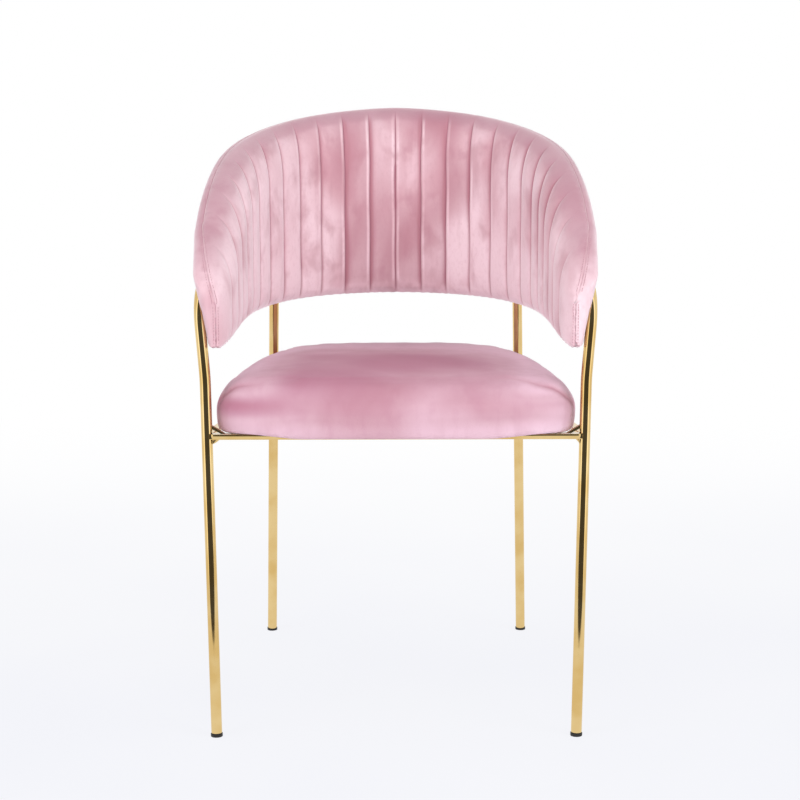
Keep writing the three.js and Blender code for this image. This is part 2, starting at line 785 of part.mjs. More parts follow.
// Where the inner faces of a cross rail and the side rail meet
function innerCorner(depth) {
  const inward = new THREE.Vector2(-sideRun.y, sideRun.x);
  const start = new THREE.Vector2(frontRailEnd.x, frontRailEnd.y).addScaledVector(inward, insideOffset);
  return start.addScaledVector(sideRun, (depth - start.y) / sideRun.y);
}

function cornerPlate(depth, away) {
  const corner = innerCorner(depth);
  const across = new THREE.Vector2(-1, 0);
  const along = sideRun.clone().multiplyScalar(away);
  const end = cornerPlateStart + cornerPlateWidth;
  const outline = [
    corner.clone().addScaledVector(across, cornerPlateStart),
    corner.clone().addScaledVector(across, end),
    corner.clone().addScaledVector(along, end),
    corner.clone().addScaledVector(along, cornerPlateStart),
  ];
  const centre = new THREE.Vector2();
  outline.forEach((point) => centre.addScaledVector(point, 1 / outline.length));
  return { outline, centre };
}

const cornerPlates = {
  front: cornerPlate(frontRailEnd.y + insideOffset, 1),
  rear: cornerPlate(rearRailEnd.y - insideOffset, -1),
};
const plateLow = railTop - cornerPlateThickness;

function verticalRod(centre, low, high, radius) {
  return rod(new THREE.Vector3(centre.x, centre.y, low), new THREE.Vector3(centre.x, centre.y, high), radius);
}

for (const [place, plate] of Object.entries(cornerPlates)) {
  const strap = toSolid(flatPlate(new THREE.Shape(plate.outline), plateLow, cornerPlateThickness));
  const hole = verticalRod(plate.centre, plateLow - cutOverrun, railTop + cutOverrun, screwHoleRadius);
  const geometry = fromSolid(cut(strap, [hole]));
  addPiece(`${place}_right_corner_plate`, geometry, goldTube);
  addPiece(`${place}_left_corner_plate`, mirrored(geometry), goldTube);
}

// Seat outline

const seatDepth = seatRear - seatFront;
const seatMiddle = new THREE.Vector2(0, (seatFront + seatRear) / 2);
const outlineHalf = seatOutlineShares.map(([wide, deep]) => (
  new THREE.Vector3((wide * seatWidth) / 2, seatFront + deep * seatDepth, 0)
));
const outlineOther = outlineHalf.slice(1, -1).reverse().map((point) => mirroredEnd(point));
const seatCurve = new THREE.CatmullRomCurve3([...outlineHalf, ...outlineOther], true, 'centripetal');

// The seat's outline moved inward by a distance, then scaled about its middle
function seatOutline(inset, scale = 1) {
  const points = [];
  for (let i = 0; i < seatColumns; i += 1) {
    const place = seatCurve.getPointAt(i / seatColumns);
    const run = seatCurve.getTangentAt(i / seatColumns);
    const point = new THREE.Vector2(place.x - run.y * inset, place.y + run.x * inset);
    points.push(point.sub(seatMiddle).multiplyScalar(scale).add(seatMiddle));
  }
  return points;
}

function seatPlate(inset, low, thickness) {
  return toSolid(flatPlate(new THREE.Shape(seatOutline(inset)), low, thickness));
}

const seatUnderside = railTop + fitGap;
const boardUnderside = seatUnderside + dustClothThickness + fitGap;
const boardTopFace = boardUnderside + seatBoardThickness;

// Screws and tee nuts, built along +Y and then aimed

const nutBoreRadius = screwDiameter / 2 + fitGap;

// A tee nut with its flange at the start and its barrel towards the end
function teeNut(from, to) {
  const length = from.distanceTo(to);
  const profile = [
    new THREE.Vector2(nutBoreRadius, 0),
    new THREE.Vector2(nutFlangeDiameter / 2, 0),
    new THREE.Vector2(nutFlangeDiameter / 2, nutFlangeThickness),
    new THREE.Vector2(nutBarrelDiameter / 2, nutFlangeThickness),
    new THREE.Vector2(nutBarrelDiameter / 2, length),
    new THREE.Vector2(nutBoreRadius, length),
    new THREE.Vector2(nutBoreRadius, 0),
  ];
  return aimed(new THREE.LatheGeometry(profile, fastenerSides), from, to);
}

// What a tee nut needs cut in its board: a recess for the flange and a hole for the barrel
function teeNutCutters(from, to) {
  const along = to.clone().sub(from).normalize();
  const outside = from.clone().addScaledVector(along, -cutOverrun);
  const seat = from.clone().addScaledVector(along, nutFlangeThickness + fitGap);
  const end = to.clone().addScaledVector(along, cutOverrun);
  return [
    rod(outside, seat, nutFlangeDiameter / 2 + fitGap, fastenerSides),
    rod(outside, end, nutBarrelDiameter / 2 + fitGap, fastenerSides),
  ];
}

// A socket screw whose head starts outside the first point and whose shank ends at the second
function screw(from, to) {
  const length = from.distanceTo(to);
  const headRadius = screwHeadDiameter / 2;
  const shankRadius = screwDiameter / 2;
  const point = shankRadius * screwPointShare;
  const profile = [
    new THREE.Vector2(0, screwSocketDepth - screwHeadHeight),
    new THREE.Vector2(screwSocketDiameter / 2, screwSocketDepth - screwHeadHeight),
    new THREE.Vector2(screwSocketDiameter / 2, -screwHeadHeight),
    ...screwHeadShares.map(([wide, high]) => new THREE.Vector2(headRadius * wide, -screwHeadHeight * high)),
    new THREE.Vector2(shankRadius, 0),
    new THREE.Vector2(shankRadius, length - point),
    new THREE.Vector2(shankRadius - point, length),
    new THREE.Vector2(0, length),
  ];
  return aimed(new THREE.LatheGeometry(profile, fastenerSides), from, to);
}

function cornerPoint(plate, height) {
  return new THREE.Vector3(plate.centre.x, plate.centre.y, height);
}

const sides = { right: (geometry) => geometry, left: mirrored };
const seatNutCutters = [];
const seatScrewCutters = [];
for (const [place, plate] of Object.entries(cornerPlates)) {
  const nutStart = cornerPoint(plate, boardTopFace);
  const nutEnd = cornerPoint(plate, boardUnderside + fitGap);
  const screwStart = cornerPoint(plate, plateLow - fitGap);
  const hole = rod(screwStart, cornerPoint(plate, boardUnderside + cutOverrun), screwHoleRadius);
  for (const [side, turned] of Object.entries(sides)) {
    addPiece(`${place}_${side}_seat_tee_nut`, turned(teeNut(nutStart, nutEnd)), zincSteel);
    addPiece(`${place}_${side}_seat_screw`, turned(screw(screwStart, nutStart)), zincSteel);
    seatNutCutters.push(...teeNutCutters(nutStart, nutEnd).map(turned));
    seatScrewCutters.push(turned(hole));
  }
}

// Seat board, the cloth under it and the cushion over it

const board = seatPlate(seatBoardInset, boardUnderside, seatBoardThickness);
addPiece('seat_board', fromSolid(cut(board, seatNutCutters)), plywood);
const cloth = seatPlate(dustClothInset, seatUnderside, dustClothThickness);
addPiece('seat_dust_cover', fromSolid(cut(cloth, seatScrewCutters)), dustCloth);

function seatRing(inset, scale, rise) {
  return seatOutline(inset, scale).map((point) => new THREE.Vector3(point.x, point.y, seatUnderside + rise));
}

const seatRings = [
  ...seatLowerShares.map(([high, draw]) => seatRing(draw * seatLowerDraw, 1, high * seatSideHeight)),
  ...seatUpperShares.map(([high, draw]) => seatRing(draw * seatUpperDraw, 1, high * seatSideHeight)),
  ...seatCrownShares.map(([size, crown]) => seatRing(seatUpperDraw, size, seatSideHeight + crown * seatCrown)),
];
const pocketHeight = boardTopFace + fitGap - seatUnderside + cutOverrun;
const seatPocket = seatPlate(seatBoardInset - fitGap, seatUnderside - cutOverrun, pocketHeight);
addPiece('seat_cushion', fromSolid(toSolid(loftRings(seatRings)).subtract(seatPocket)), pinkVelvet);

// Back: board, channelled pad and outer panel, with the screws that hold them to the tube

const backNutCutters = [];
const panelCutters = [toSolid(sweptTube(tubeRadius + fitGap, 0))];
backScrews.forEach((place, i) => {
  const share = place.run / planLength;
  const overFlange = boardInnerOffset(share, archHeight + nutFlangeDiameter / 2);
  const underBarrel = boardInnerOffset(share, archHeight - nutFlangeDiameter / 2);
  const nutStart = place.at(overFlange + nutFlangeThickness);
  const nutEnd = place.at(underBarrel + backBoardThickness - fitGap);
  const head = place.at(place.tubeOffset + tubeRadius + fitGap);
  const panelHole = rod(nutStart, head, screwHoleRadius);
  for (const [side, turned] of Object.entries(sides)) {
    addPiece(`${side}_back_tee_nut_${i + 1}`, turned(teeNut(nutStart, nutEnd)), zincSteel);
    addPiece(`${side}_back_screw_${i + 1}`, turned(screw(head, nutStart)), zincSteel);
    backNutCutters.push(...teeNutCutters(nutStart, nutEnd).map(turned));
  }
  panelCutters.push(toSolid(panelHole));
});

const backBoard = toSolid(loftRings(columnShares(boardEndShare).map(boardRing)));
addPiece('back_board', fromSolid(cut(backBoard, backNutCutters)), plywood);
addPiece('back_channel_pad', loftRings(columnShares(1).map(padRing)), pinkVelvet);

const panelSolid = toSolid(loftRings(columnShares(1).map(panelRing)));
const cutPanel = panelCutters.reduce(
  (rest, cutter) => rest.subtract(cutter).subtract(cutter.mirror([1, 0, 0])),
  panelSolid,
);
addPiece('back_outer_panel', fromSolid(cutPanel), pinkVelvet);

// The origin lies on the floor under the middle of the chair
const bounds = new THREE.Box3().setFromObject(chair);
chair.position.y = -(bounds.min.y + bounds.max.y) / 2;

export default chair;
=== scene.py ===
import json
import math

import bmesh
import bpy
import numpy as np
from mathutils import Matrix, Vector
from mathutils.kdtree import KDTree


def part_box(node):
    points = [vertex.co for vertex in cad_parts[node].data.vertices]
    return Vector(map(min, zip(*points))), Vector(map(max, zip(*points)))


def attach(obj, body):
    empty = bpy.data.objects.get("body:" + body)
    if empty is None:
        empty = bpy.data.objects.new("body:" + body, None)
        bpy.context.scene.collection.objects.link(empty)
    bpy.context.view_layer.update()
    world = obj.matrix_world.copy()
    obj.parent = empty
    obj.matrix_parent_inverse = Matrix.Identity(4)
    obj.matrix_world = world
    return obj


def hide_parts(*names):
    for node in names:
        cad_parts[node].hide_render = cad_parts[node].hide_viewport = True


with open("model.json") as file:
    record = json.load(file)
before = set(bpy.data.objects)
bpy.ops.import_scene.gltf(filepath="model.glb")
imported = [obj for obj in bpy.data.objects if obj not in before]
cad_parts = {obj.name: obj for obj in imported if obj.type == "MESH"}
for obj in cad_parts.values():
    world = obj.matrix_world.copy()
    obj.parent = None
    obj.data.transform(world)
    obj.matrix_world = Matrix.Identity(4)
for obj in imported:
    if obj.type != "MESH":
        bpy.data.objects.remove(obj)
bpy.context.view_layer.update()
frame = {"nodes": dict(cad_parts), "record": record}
scene = bpy.context.scene
footLow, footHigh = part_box("front_right_foot_plug")
frontLine = (footLow.y + footHigh.y) / 2
print("frame loaded")

# Camera

view = {
    "distance": 2.25,  # ahead of the front legs
    "height": 0.826,
    "pitch": 9.0,
    "roll": -0.12,
    "lens": 76.5,
    "shift": 0.0052,
}

lens = bpy.data.cameras.new("camera")
lens.lens = view["lens"]
lens.shift_x = view["shift"]
camera = bpy.data.objects.new("camera", lens)
camera.location = (0, frontLine - view["distance"], view["height"])
camera.rotation_euler = (math.radians(90 - view["pitch"]), 0, 0)
camera.rotation_euler.rotate_axis("Z", math.radians(view["roll"]))
scene.collection.objects.link(camera)
scene.camera = camera
print("camera placed")

# Meshes


def makePiece(name, points, faces):
    mesh = bpy.data.meshes.new(name)
    mesh.from_pydata([tuple(map(float, p)) for p in points], [], faces)
    work = bmesh.new()
    work.from_mesh(mesh)
    bmesh.ops.remove_doubles(work, verts=work.verts, dist=1e-6)
    bmesh.ops.recalc_face_normals(work, faces=work.faces)
    if work.calc_volume(signed=True) < 0:
        bmesh.ops.reverse_faces(work, faces=work.faces)
    work.to_mesh(mesh)
    work.free()
    mesh.polygons.foreach_set("use_smooth", [True] * len(mesh.polygons))
    piece = bpy.data.objects.new(name, mesh)
    scene.collection.objects.link(piece)
    return piece


# Faces between rings of one length. Both ends are capped, or in a loop the last ring joins the first
def ringFaces(count, size, base=0, loop=False):
    faces = []
    for r in range(count if loop else count - 1):
        here, after = base + r * size, base + (r + 1) % count * size
        for i in range(size):
            j = (i + 1) % size
            faces.append((here + i, here + j, after + j, after + i))
    if not loop:
        faces += [tuple(range(base + r * size, base + (r + 1) * size)) for r in (0, count - 1)]
    return faces


def loft(name, rings, loop=False):
    rings = np.asarray(rings)
    return makePiece(name, rings.reshape(-1, 3), ringFaces(*rings.shape[:2], loop=loop))


def coordinates(piece):
    flat = np.empty(len(piece.data.vertices) * 3)
    piece.data.vertices.foreach_get("co", flat)
    return flat.reshape(-1, 3)


def setCoordinates(piece, points):
    piece.data.vertices.foreach_set("co", np.asarray(points).ravel())
    piece.data.update()


def vertexNormals(piece):
    flat = np.empty(len(piece.data.vertices) * 3, np.float32)
    piece.data.vertex_normals.foreach_get("vector", flat)
    return flat.reshape(-1, 3)


# How much painted shade each vertex has in a seam or crease, or how dark its thread is, and how its colour
# turns for the pile and for painted light and shade
def setMarks(piece, seam, pileAndLight):
    for name, values in (("seam", seam), ("pileAndLight", pileAndLight)):
        values = np.broadcast_to(values, len(piece.data.vertices)).astype(np.float32)
        piece.data.attributes.new(name, "FLOAT", "POINT").data.foreach_set("value", values)


# How far each place is from the nearest point of a line, and that point's number
def nearLine(points, line):
    tree = KDTree(len(line))
    for i, place in enumerate(line):
        tree.insert(Vector(place), i)
    tree.balance()
    found = [tree.find(Vector(p)) for p in points]
    return np.array([f[2] for f in found]), np.array([f[1] for f in found])


def unit(vectors):
    return vectors / np.linalg.norm(vectors, axis=1)[:, None]


# How far each place of a line is along it
def walkedAlong(line):
    return np.concatenate([[0], np.cumsum(np.linalg.norm(np.diff(line, axis=0), axis=1))])


def smoothStep(low, high, value):
    t = np.clip((value - low) / (high - low), 0, 1)
    return t * t * (3 - 2 * t)


def mixed(low, high, share):
    return low + (high - low) * share


# A smooth hump, 1 high
def hump(value, middle, half):
    return np.exp(-(((value - middle) / half) ** 2))


# Even steps from 0 to 1, drawn closer to both ends
def crowded(even, crowd):
    return mixed(even, (1 - np.cos(math.pi * even)) / 2, crowd)


# Even waves that never repeat over a piece: one number for each place
def waves(points, scale, seed=0.0):
    x, y, z = (np.asarray(points) * scale).T
    total = np.sin(1.7 * x + 2.3 * y + 0.9 * z + seed)
    total += np.sin(-1.1 * x + 1.9 * y + 2.7 * z + 2.1 * seed + 1.3)
    total += np.sin(2.9 * x - 1.3 * y + 1.6 * z + 0.7 * seed + 4.1)
    total += 0.6 * np.sin(4.3 * x + 3.7 * y - 3.1 * z + seed + 0.4)
    return total / 3.6


# Materials

canvas = {}  # the node tree being made


def setInput(node, key, value):
    if isinstance(value, bpy.types.NodeSocket):
        canvas["tree"].links.new(value, node.inputs[key])
    else:
        node.inputs[key].default_value = value


def addNode(kind, inputs=None, **settings):
    made = canvas["tree"].nodes.new("ShaderNode" + kind)
    for key, value in settings.items():
        setattr(made, key, value)
    for key, value in (inputs or {}).items():
        setInput(made, key, value)
    return made


def startTree(made):
    made.use_nodes = True
    canvas["tree"] = made.node_tree
    return made


def finishMaterial(made, sockets):
    for key, value in sockets.items():
        setInput(made.node_tree.nodes["Principled BSDF"], key, value)
    return made


def noise(scale, detail=2.0, stretch=(1, 1, 1), rough=0.5, smear=0.0, place=None):
    place = place or addNode("TexCoord").outputs["Object"]
    turned = addNode("Mapping", {"Vector": place, "Scale": stretch}).outputs[0]
    inputs = {"Vector": turned, "Scale": scale, "Detail": detail, "Roughness": rough, "Distortion": smear}
    return addNode("TexNoise", inputs).outputs[0]


def spread(value, low, high, least=0.0, most=1.0):
    inputs = {"Value": value, "From Min": low, "From Max": high, "To Min": least, "To Max": most}
    return addNode("MapRange", inputs, interpolation_type="SMOOTHSTEP").outputs[0]


def mixColour(share, first, second):
    return addNode("Mix", {0: share, 6: first, 7: second}, data_type="RGBA").outputs[2]


def calculate(operation, *values):
    return addNode("Math", dict(enumerate(values)), operation=operation).outputs[0]


def bump(height, strength, distance, under=None):
    inputs = {"Height": height, "Strength": strength, "Distance": distance}
    return addNode("Bump", inputs if under is None else {**inputs, "Normal": under}).outputs[0]


def colour(red, green, blue):
    linear = [((c / 255 + 0.055) / 1.055) ** 2.4 if c > 10 else c / 255 / 12.92 for c in (red, green, blue)]
    return (*linear, 1)


velvetLook = {
    # the light colour also serves as painted light where a piece's pile mark is above 0
    "light": colour(243, 216, 223),
    "middle": colour(209, 162, 172),
    "deep": colour(184, 128, 140),  # where the pile is stroked the other way, and painted shade
    "above": colour(172, 114, 131),  # painted shade on faces that look up
    "aboveShadeShare": 0.85,
    "aboveShadeSpread": (0.25, 0.95),
    # painted shade in seams and creases, and the thread's colour
    "seam": colour(178, 116, 131),
    "patches": 7.0,  # in one metre
    "patchSpread": (0.36, 0.64),
    "marks": [  # smudges, strokes, grain: number in a metre, detail, upright scale, roughness, smear, reach
        (26, 3, 0.7, 0.5, 0.25, (0.5, 0.72)),
        (60, 3, 0.22, 0.5, 0.2, (0.5, 0.75)),
        (230, 4, 0.6, 0.7, 0.0, (0.45, 0.75)),
    ],
    "markShares": (0.5, 0.24, 0.16),  # how dark each kind of mark is
    "pile": 2600,
    "weave": 420,
    "sheen": 1.0,
    "sheenTint": (1.0, 0.9, 0.93, 1),
    "sheenSpread": 0.5,
}

# The seat's pile is pressed and shines less; its deep and above colours carry the painted shade on its top
seatVelvetLook = {
    "patchSpread": (0.1, 1.0),
    "markShares": (0.16, 0.12, 0.06),
    "light": colour(234, 202, 216),
    "middle": colour(185, 134, 146),
    "deep": colour(172, 106, 128),
    "above": colour(172, 114, 136),
    "aboveShadeShare": 0.35,
    "sheen": 0.25,
    "sheenTint": (1.0, 0.82, 0.9, 1),
}
panelVelvetLook = {"markShares": (0.16, 0.24, 0.16)}


# A piece's pile mark turns its colour to the light side above 0 and to the deep side below, for its pile and
# for painted light and shade; its seam mark paints shade into seams and creases and darkens its thread
def velvetMaterial(name, look):
    made = startTree(bpy.data.materials.new(name))
    pileAndLight, seam = (addNode("Attribute", attribute_name=mark).outputs["Fac"] for mark in ("pileAndLight", "seam"))
    patch = noise(look["patches"], 3, (1, 1, 0.7), 0.5, 0.5)
    base = mixColour(spread(patch, *look["patchSpread"]), look["middle"], look["light"])
    base = mixColour(spread(pileAndLight, 0, 1), base, look["light"])
    base = mixColour(spread(pileAndLight, 0, -1), base, look["deep"])
    for (size, detail, upright, rough, smear, reach), share in zip(look["marks"], look["markShares"]):
        mark = noise(size, detail, (1, 1, upright), rough, smear)
        base = mixColour(spread(mark, *reach, 0, share), base, look["deep"])
    # Painted shade: faces that look up turn toward the above colour
    normal = addNode("NewGeometry").outputs["Normal"]
    upward = addNode("SeparateXYZ", {"Vector": normal}).outputs["Z"]
    base = mixColour(spread(upward, *look["aboveShadeSpread"], 0, look["aboveShadeShare"]), base, look["above"])
    return finishMaterial(made, {
        # painted shade in seams and creases, and the thread's darker colour
        "Base Color": mixColour(seam, base, look["seam"]),
        "Roughness": 0.95,
        "Specular IOR Level": 0.12,
        "Sheen Weight": look["sheen"],
        "Sheen Roughness": look["sheenSpread"],
        "Sheen Tint": look["sheenTint"],
        "Normal": bump(noise(look["weave"], 3), 0.25, 0.0006, bump(noise(look["pile"], 2), 0.35, 0.0004)),
    })


goldLook = {
    "bright": colour(236, 207, 146),
    "deep": colour(223, 187, 117),
    "roughness": (0.05, 0.11),
    "clouds": 18,  # in one metre, as the three below
    "wear": 160,
    "polish": 900,
    "dents": 34,
}


def goldMaterial(name, look):
    made = startTree(bpy.data.materials.new(name))
    polish = bump(noise(look["polish"], 2, (1, 1, 0.08)), 0.02, 0.0002)
    return finishMaterial(made, {
        "Base Color": mixColour(spread(noise(look["clouds"], 3), 0.35, 0.7), look["bright"], look["deep"]),
        "Metallic": 1.0,
        "Roughness": spread(noise(look["wear"], 4), 0.35, 0.75, *look["roughness"]),
        "Normal": bump(noise(look["dents"], 2, (1, 1, 0.5)), 0.18, 0.001, polish),
    })


plainLook = {"sockets": {}, "stretch": (1, 1, 1), "depth": 0.0003, "rough": (0.5, 0.65)}
plasticLook = {
    "colours": (colour(26, 24, 23), colour(44, 41, 38)),
    "clouds": 60,  # in one metre, as the grain
    "grain": 900,
    "rough": (0.38, 0.52),
    "sockets": {"Specular IOR Level": 0.4},
}
plywoodLook = {
    "colours": (colour(205, 170, 122), colour(178, 138, 92)),
    "clouds": 22,
    "grain": 320,
    "stretch": (1, 9, 9),
}
dustClothLook = {
    "colours": (colour(38, 38, 40), colour(58, 57, 60)),
    "clouds": 90,
    "grain": 1400,
    "depth": 0.0006,
    "rough": (0.85, 0.98),
    "sockets": {"Sheen Weight": 0.1},
}
zincLook = {
    "colours": (colour(196, 198, 200), colour(158, 162, 168)),
    "clouds": 120,
    "grain": 1600,
    "depth": 0.0001,
    "rough": (0.24, 0.4),
    "sockets": {"Metallic": 1.0},
}


def plainMaterial(name, own):
    look = {**plainLook, **own}
    made = startTree(bpy.data.materials.new(name))
    cloud = noise(look["clouds"], 4, look["stretch"])
    fine = noise(look["grain"], 3, look["stretch"])
    return finishMaterial(made, {
        "Base Color": mixColour(spread(cloud, 0.3, 0.7), *look["colours"]),
        "Roughness": spread(fine, 0.3, 0.7, *look["rough"]),
        "Normal": bump(fine, 0.3, look["depth"]),
        **look["sockets"],
    })


panelVelvet = velvetMaterial("panelVelvet", {**velvetLook, **panelVelvetLook})
seatVelvet = velvetMaterial("seatVelvet", {**velvetLook, **seatVelvetLook})
slotMaterials = {
    "gold_tube": goldMaterial("polishedGold", goldLook),
    "foot_plastic": plainMaterial("blackPlastic", plasticLook),
    "velvet": velvetMaterial("pinkVelvet", velvetLook),
    "plywood": plainMaterial("birchPlywood", plywoodLook),
    "dust_cloth": plainMaterial("dustCloth", dustClothLook),
    "zinc_steel": plainMaterial("zincSteel", zincLook),
}

slotOf = {part["node"]: part["material_slot"] for part in frame["record"]["subparts"]}
for name, solid in frame["nodes"].items():
    solid.data.materials.clear()
    solid.data.materials.append(slotMaterials[slotOf[name]])


def dress(piece, slot, *replaced):
    piece.data.materials.clear()
    piece.data.materials.append(slotMaterials[slot])
    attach(piece, "root")
    if replaced:
        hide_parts(*replaced)


print("materials made")

# Back: its plan curve and section

back = {
    "arcs": [(0.285, 0.078), (0.15, 0.102), (0.26, 0.118), (0.97, 0.12), (-0.4, 0.09)],  # radius, run
    "depth": 0.376,
    "top": 0.8616,
    "armTop": 0.6,
    "lower": 0.578,
    "lowerDrop": 0.0395,
    "lowerShape": 1.75,
    "ridgeShape": (1.67, 1.75),
    "ridgeFuller": [(0.0032, 0.62, 0.2), (0.001, 0.25, 0.12)],  # height, share and half width of each
    "lowerThickness": 0.027,
    "upperThickness": 0.06,
    "frontThickness": 0.033,
    "frontLowerThickness": 0.02,
    "taperStart": 0.89,
    "taperShape": 0.65,
    "frontSlant": 0.5,
    "frontSlantRun": 0.06,
    "topRoll": (0.045, 0.08),
    "frontRoll": (0.007, 0.024),
    "lowerRoll": (0.01, 0.04),
    "outerRolls": (0.014, 0.018, 0.015),
    "frontLowerReach": 0.006,
    "tipLift": (0.0045, 0.016),  # at the seam's foot, and over which distance it fades
    "edge": 0.0012,
    "gap": 0.0003,
    "board": 0.006,
    "boardInsets": (0.026, 0.012, 0.023),
    "rowCrowd": 0.82,  # how much closer rows lie near the ridge and the lower edge
}
planLength = sum(run for radius, run in back["arcs"])


def planAtRun(run, offset):
    left = np.abs(run)
    side = np.where(np.asarray(run) < 0, -1.0, 1.0)
    heading, x, y = 0.0, 0.0, back["depth"]
    for radius, length in back["arcs"]:
        part = np.clip(left, 0, length)
        after = heading + part / radius
        x = x + radius * (np.sin(after) - np.sin(heading))
        y = y + radius * (np.cos(after) - np.cos(heading))
        heading = after
        left = left - part
    x = x + left * np.cos(heading) + offset * np.sin(heading)
    y = y - left * np.sin(heading) + offset * np.cos(heading)
    return side * x, y + frontLine


def planAtShare(share, offset):
    share, offset = np.broadcast_arrays(np.asarray(share, float), np.asarray(offset, float))
    lengths = [(radius + offset) * run / radius for radius, run in back["arcs"]]
    left = np.abs(share) * sum(lengths)
    run = np.zeros_like(left)
    for (radius, reach), length in zip(back["arcs"], lengths):
        part = np.clip(left, 0, length)
        run = run + part * reach / length
        left = left - part
    slant = np.clip(1 - frontDistance(share) / back["frontSlantRun"], 0, None)
    run = run + back["frontSlant"] * offset * slant
    return planAtRun(np.where(share < 0, -run, run), offset)


def backPoint(share, offset, height):
    x, y = planAtShare(share, offset)
    return np.stack([x, y, np.broadcast_to(height, x.shape)], axis=-1)


def ridge(share):
    inner, outer = back["ridgeShape"]
    rise = (back["top"] - back["armTop"]) * (1 - np.abs(share) ** inner) ** (1 / outer)
    fuller = sum(high * hump(np.abs(share), middle, half) for high, middle, half in back["ridgeFuller"])
    return back["armTop"] + rise + fuller


def lowerEdge(share):
    lift, reach = back["tipLift"]
    tip = np.clip(1 - frontDistance(share) / reach, 0, 1) ** 2
    return back["lower"] - back["lowerDrop"] * np.abs(share) ** back["lowerShape"] + lift * tip


def fullness(share):
    return np.minimum(1, (1 - np.abs(share)) / (1 - back["taperStart"])) ** back["taperShape"]


def frontDistance(share):
    return (1 - np.abs(share)) * planLength


def thickness(share, height):
    full = fullness(share)
    upper = mixed(back["frontThickness"], back["upperThickness"], full)
    lower = mixed(back["frontLowerThickness"], back["lowerThickness"], full)
    part = (height - lowerEdge(share)) / (ridge(share) - lowerEdge(share))
    return mixed(lower, upper, part)


# How far a rounded edge lies in from the face, by the distance from the edge
def rolled(depth, distance, reach):
    inside = np.clip(1 - distance / reach, 0, 1)
    return depth * (1 - np.sqrt(1 - inside * inside))


def topRoll(share):
    full = fullness(share)
    return tuple(mixed(low, high, full) for low, high in zip(back["frontRoll"], back["topRoll"]))


def lowerReach(share, reach):
    return mixed(back["frontLowerReach"], reach, fullness(share))


# How far the face lies in at the ridge, the arms' ends and the lower edge together
def drawnIn(share, height, depths, reaches):
    distances = (ridge(share) - height, frontDistance(share), height - lowerEdge(share))
    return sum(np.abs(rolled(*roll)) ** 5 for roll in zip(depths, distances, reaches)) ** 0.2


def faceOffset(share, height):
    depth, reach = topRoll(share)
    front, lower = back["frontRoll"], back["lowerRoll"]
    reaches = (reach, front[1], lowerReach(share, lower[1]))
    return drawnIn(share, height, (depth, front[0], lower[0]), reaches)


def outerOffset(share, height):
    full = thickness(share, height)
    most = full - 2 * back["edge"] - back["gap"]
    depths = [most - depth for depth in (topRoll(share)[0], back["frontRoll"][0], back["lowerRoll"][0])]
    top, front, lower = back["outerRolls"]
    return full - drawnIn(share, height, depths, (top, front, lowerReach(share, lower)))


def boardOffset(share, height):
    return 0.5 * thickness(share, height)


def padBack(share, height):
    clear = boardOffset(share, height) - back["gap"]
    least = back["frontRoll"][0] + back["edge"]
    return clear - rolled(clear - least, frontDistance(share), back["boardInsets"][2])


# Inner pad, sewn in channels

pad = {
    "channels": 13,  # on each side of the middle seam
    "columns": 12,  # in each channel
    "columnCrowd": 0.8,  # how much closer they lie near a seam
    "rows": 96,
    "nose": (0.012, 0.007, 0.0035, 0.0012),  # further columns, before the arm's end
    "rise": 0.005,
    "riseFade": (0.02, 0.012),  # below the ridge and above the lower edge
    "fullness": 0.42,  # lower is flatter across, with a tighter seam
    "outerFade": (8.8, 11.8, 0.4),  # channels between which the seams grow faint, and what is left
    "outerFlat": 0.7,  # how much the channels grow flat with them
    "wander": 0.0003,  # how far a seam strays sideways
    "wanderTurns": (17 / 0.3, 5),  # for each metre of height, and from seam to seam
    "wanderFade": 0.05,  # below the ridge
    "seamFade": (0.004, 0.024, 0.01),  # below the ridge and above the lower edge
    "seamWidth": 0.035,  # share of a channel, as the widths below
    "shade": (0.55, 0.19),  # painted shade on the inner side of a seam: how much, and how wide
    "shine": (0.6, 0.07, 0.04),  # a painted sheen highlight along its outer side: how much, where and how wide
    "seamMark": (0.7, 0.8),  # painted shade in a seam: how dark, and how much darker where it is drawn in
    "deepSeam": (0.702, 0.712, 0.77, 0.78),  # heights between which the middle seam is drawn in, with more painted shade
    "mottling": (0.35, 14),  # how much the pile changes, and how often
    "toneChange": 0.07,  # how much one channel's pile differs from the next
    "middleShade": (-0.5, 0.14, 0.3),  # painted shade on the middle channels, and the shares where it fades
    "middleRise": 0.03,  # above the lower edge, where that painted shade is in full
    # painted light on the outer channels
    "sideLight": 0.3,
    "lowerLight": (0.95, 0.17),  # painted light on the outer channels' lower ends, and its height
    "lowerRimLight": (0.8, 0.02, 0.002),  # painted light along the lower edge, and where it starts above it and is in full
    "armLightAndShade": (0.5, -1.6),  # painted light all over the arms, and painted shade at their lower ends
    "arms": (0.7, 0.92),  # shares between which the arms start
    "rightShade": (-2.9, 0.2),  # painted shade, for each metre to the right, and up to how far
    "rightRise": (0.03, 0.16),  # above the lower edge, where it starts
    "seed": 5,
}


# Shares of the way from the middle to the arms' ends at which there is a column
def channelColumns():
    even = np.arange(pad["columns"]) / pad["columns"]
    half = np.arange(pad["channels"])[:, None] + crowded(even, pad["columnCrowd"])
    half = np.append(half.ravel() / pad["channels"], 1.0)
    half = np.unique(np.append(half, 1 - np.array(pad["nose"]) / planLength))
    return np.concatenate([-half[:0:-1], half])


# Rows between the lower edge and the ridge, closer near both
def rowHeights(share, count):
    return mixed(lowerEdge(share), ridge(share), crowded(np.linspace(0, 1, count), back["rowCrowd"]))
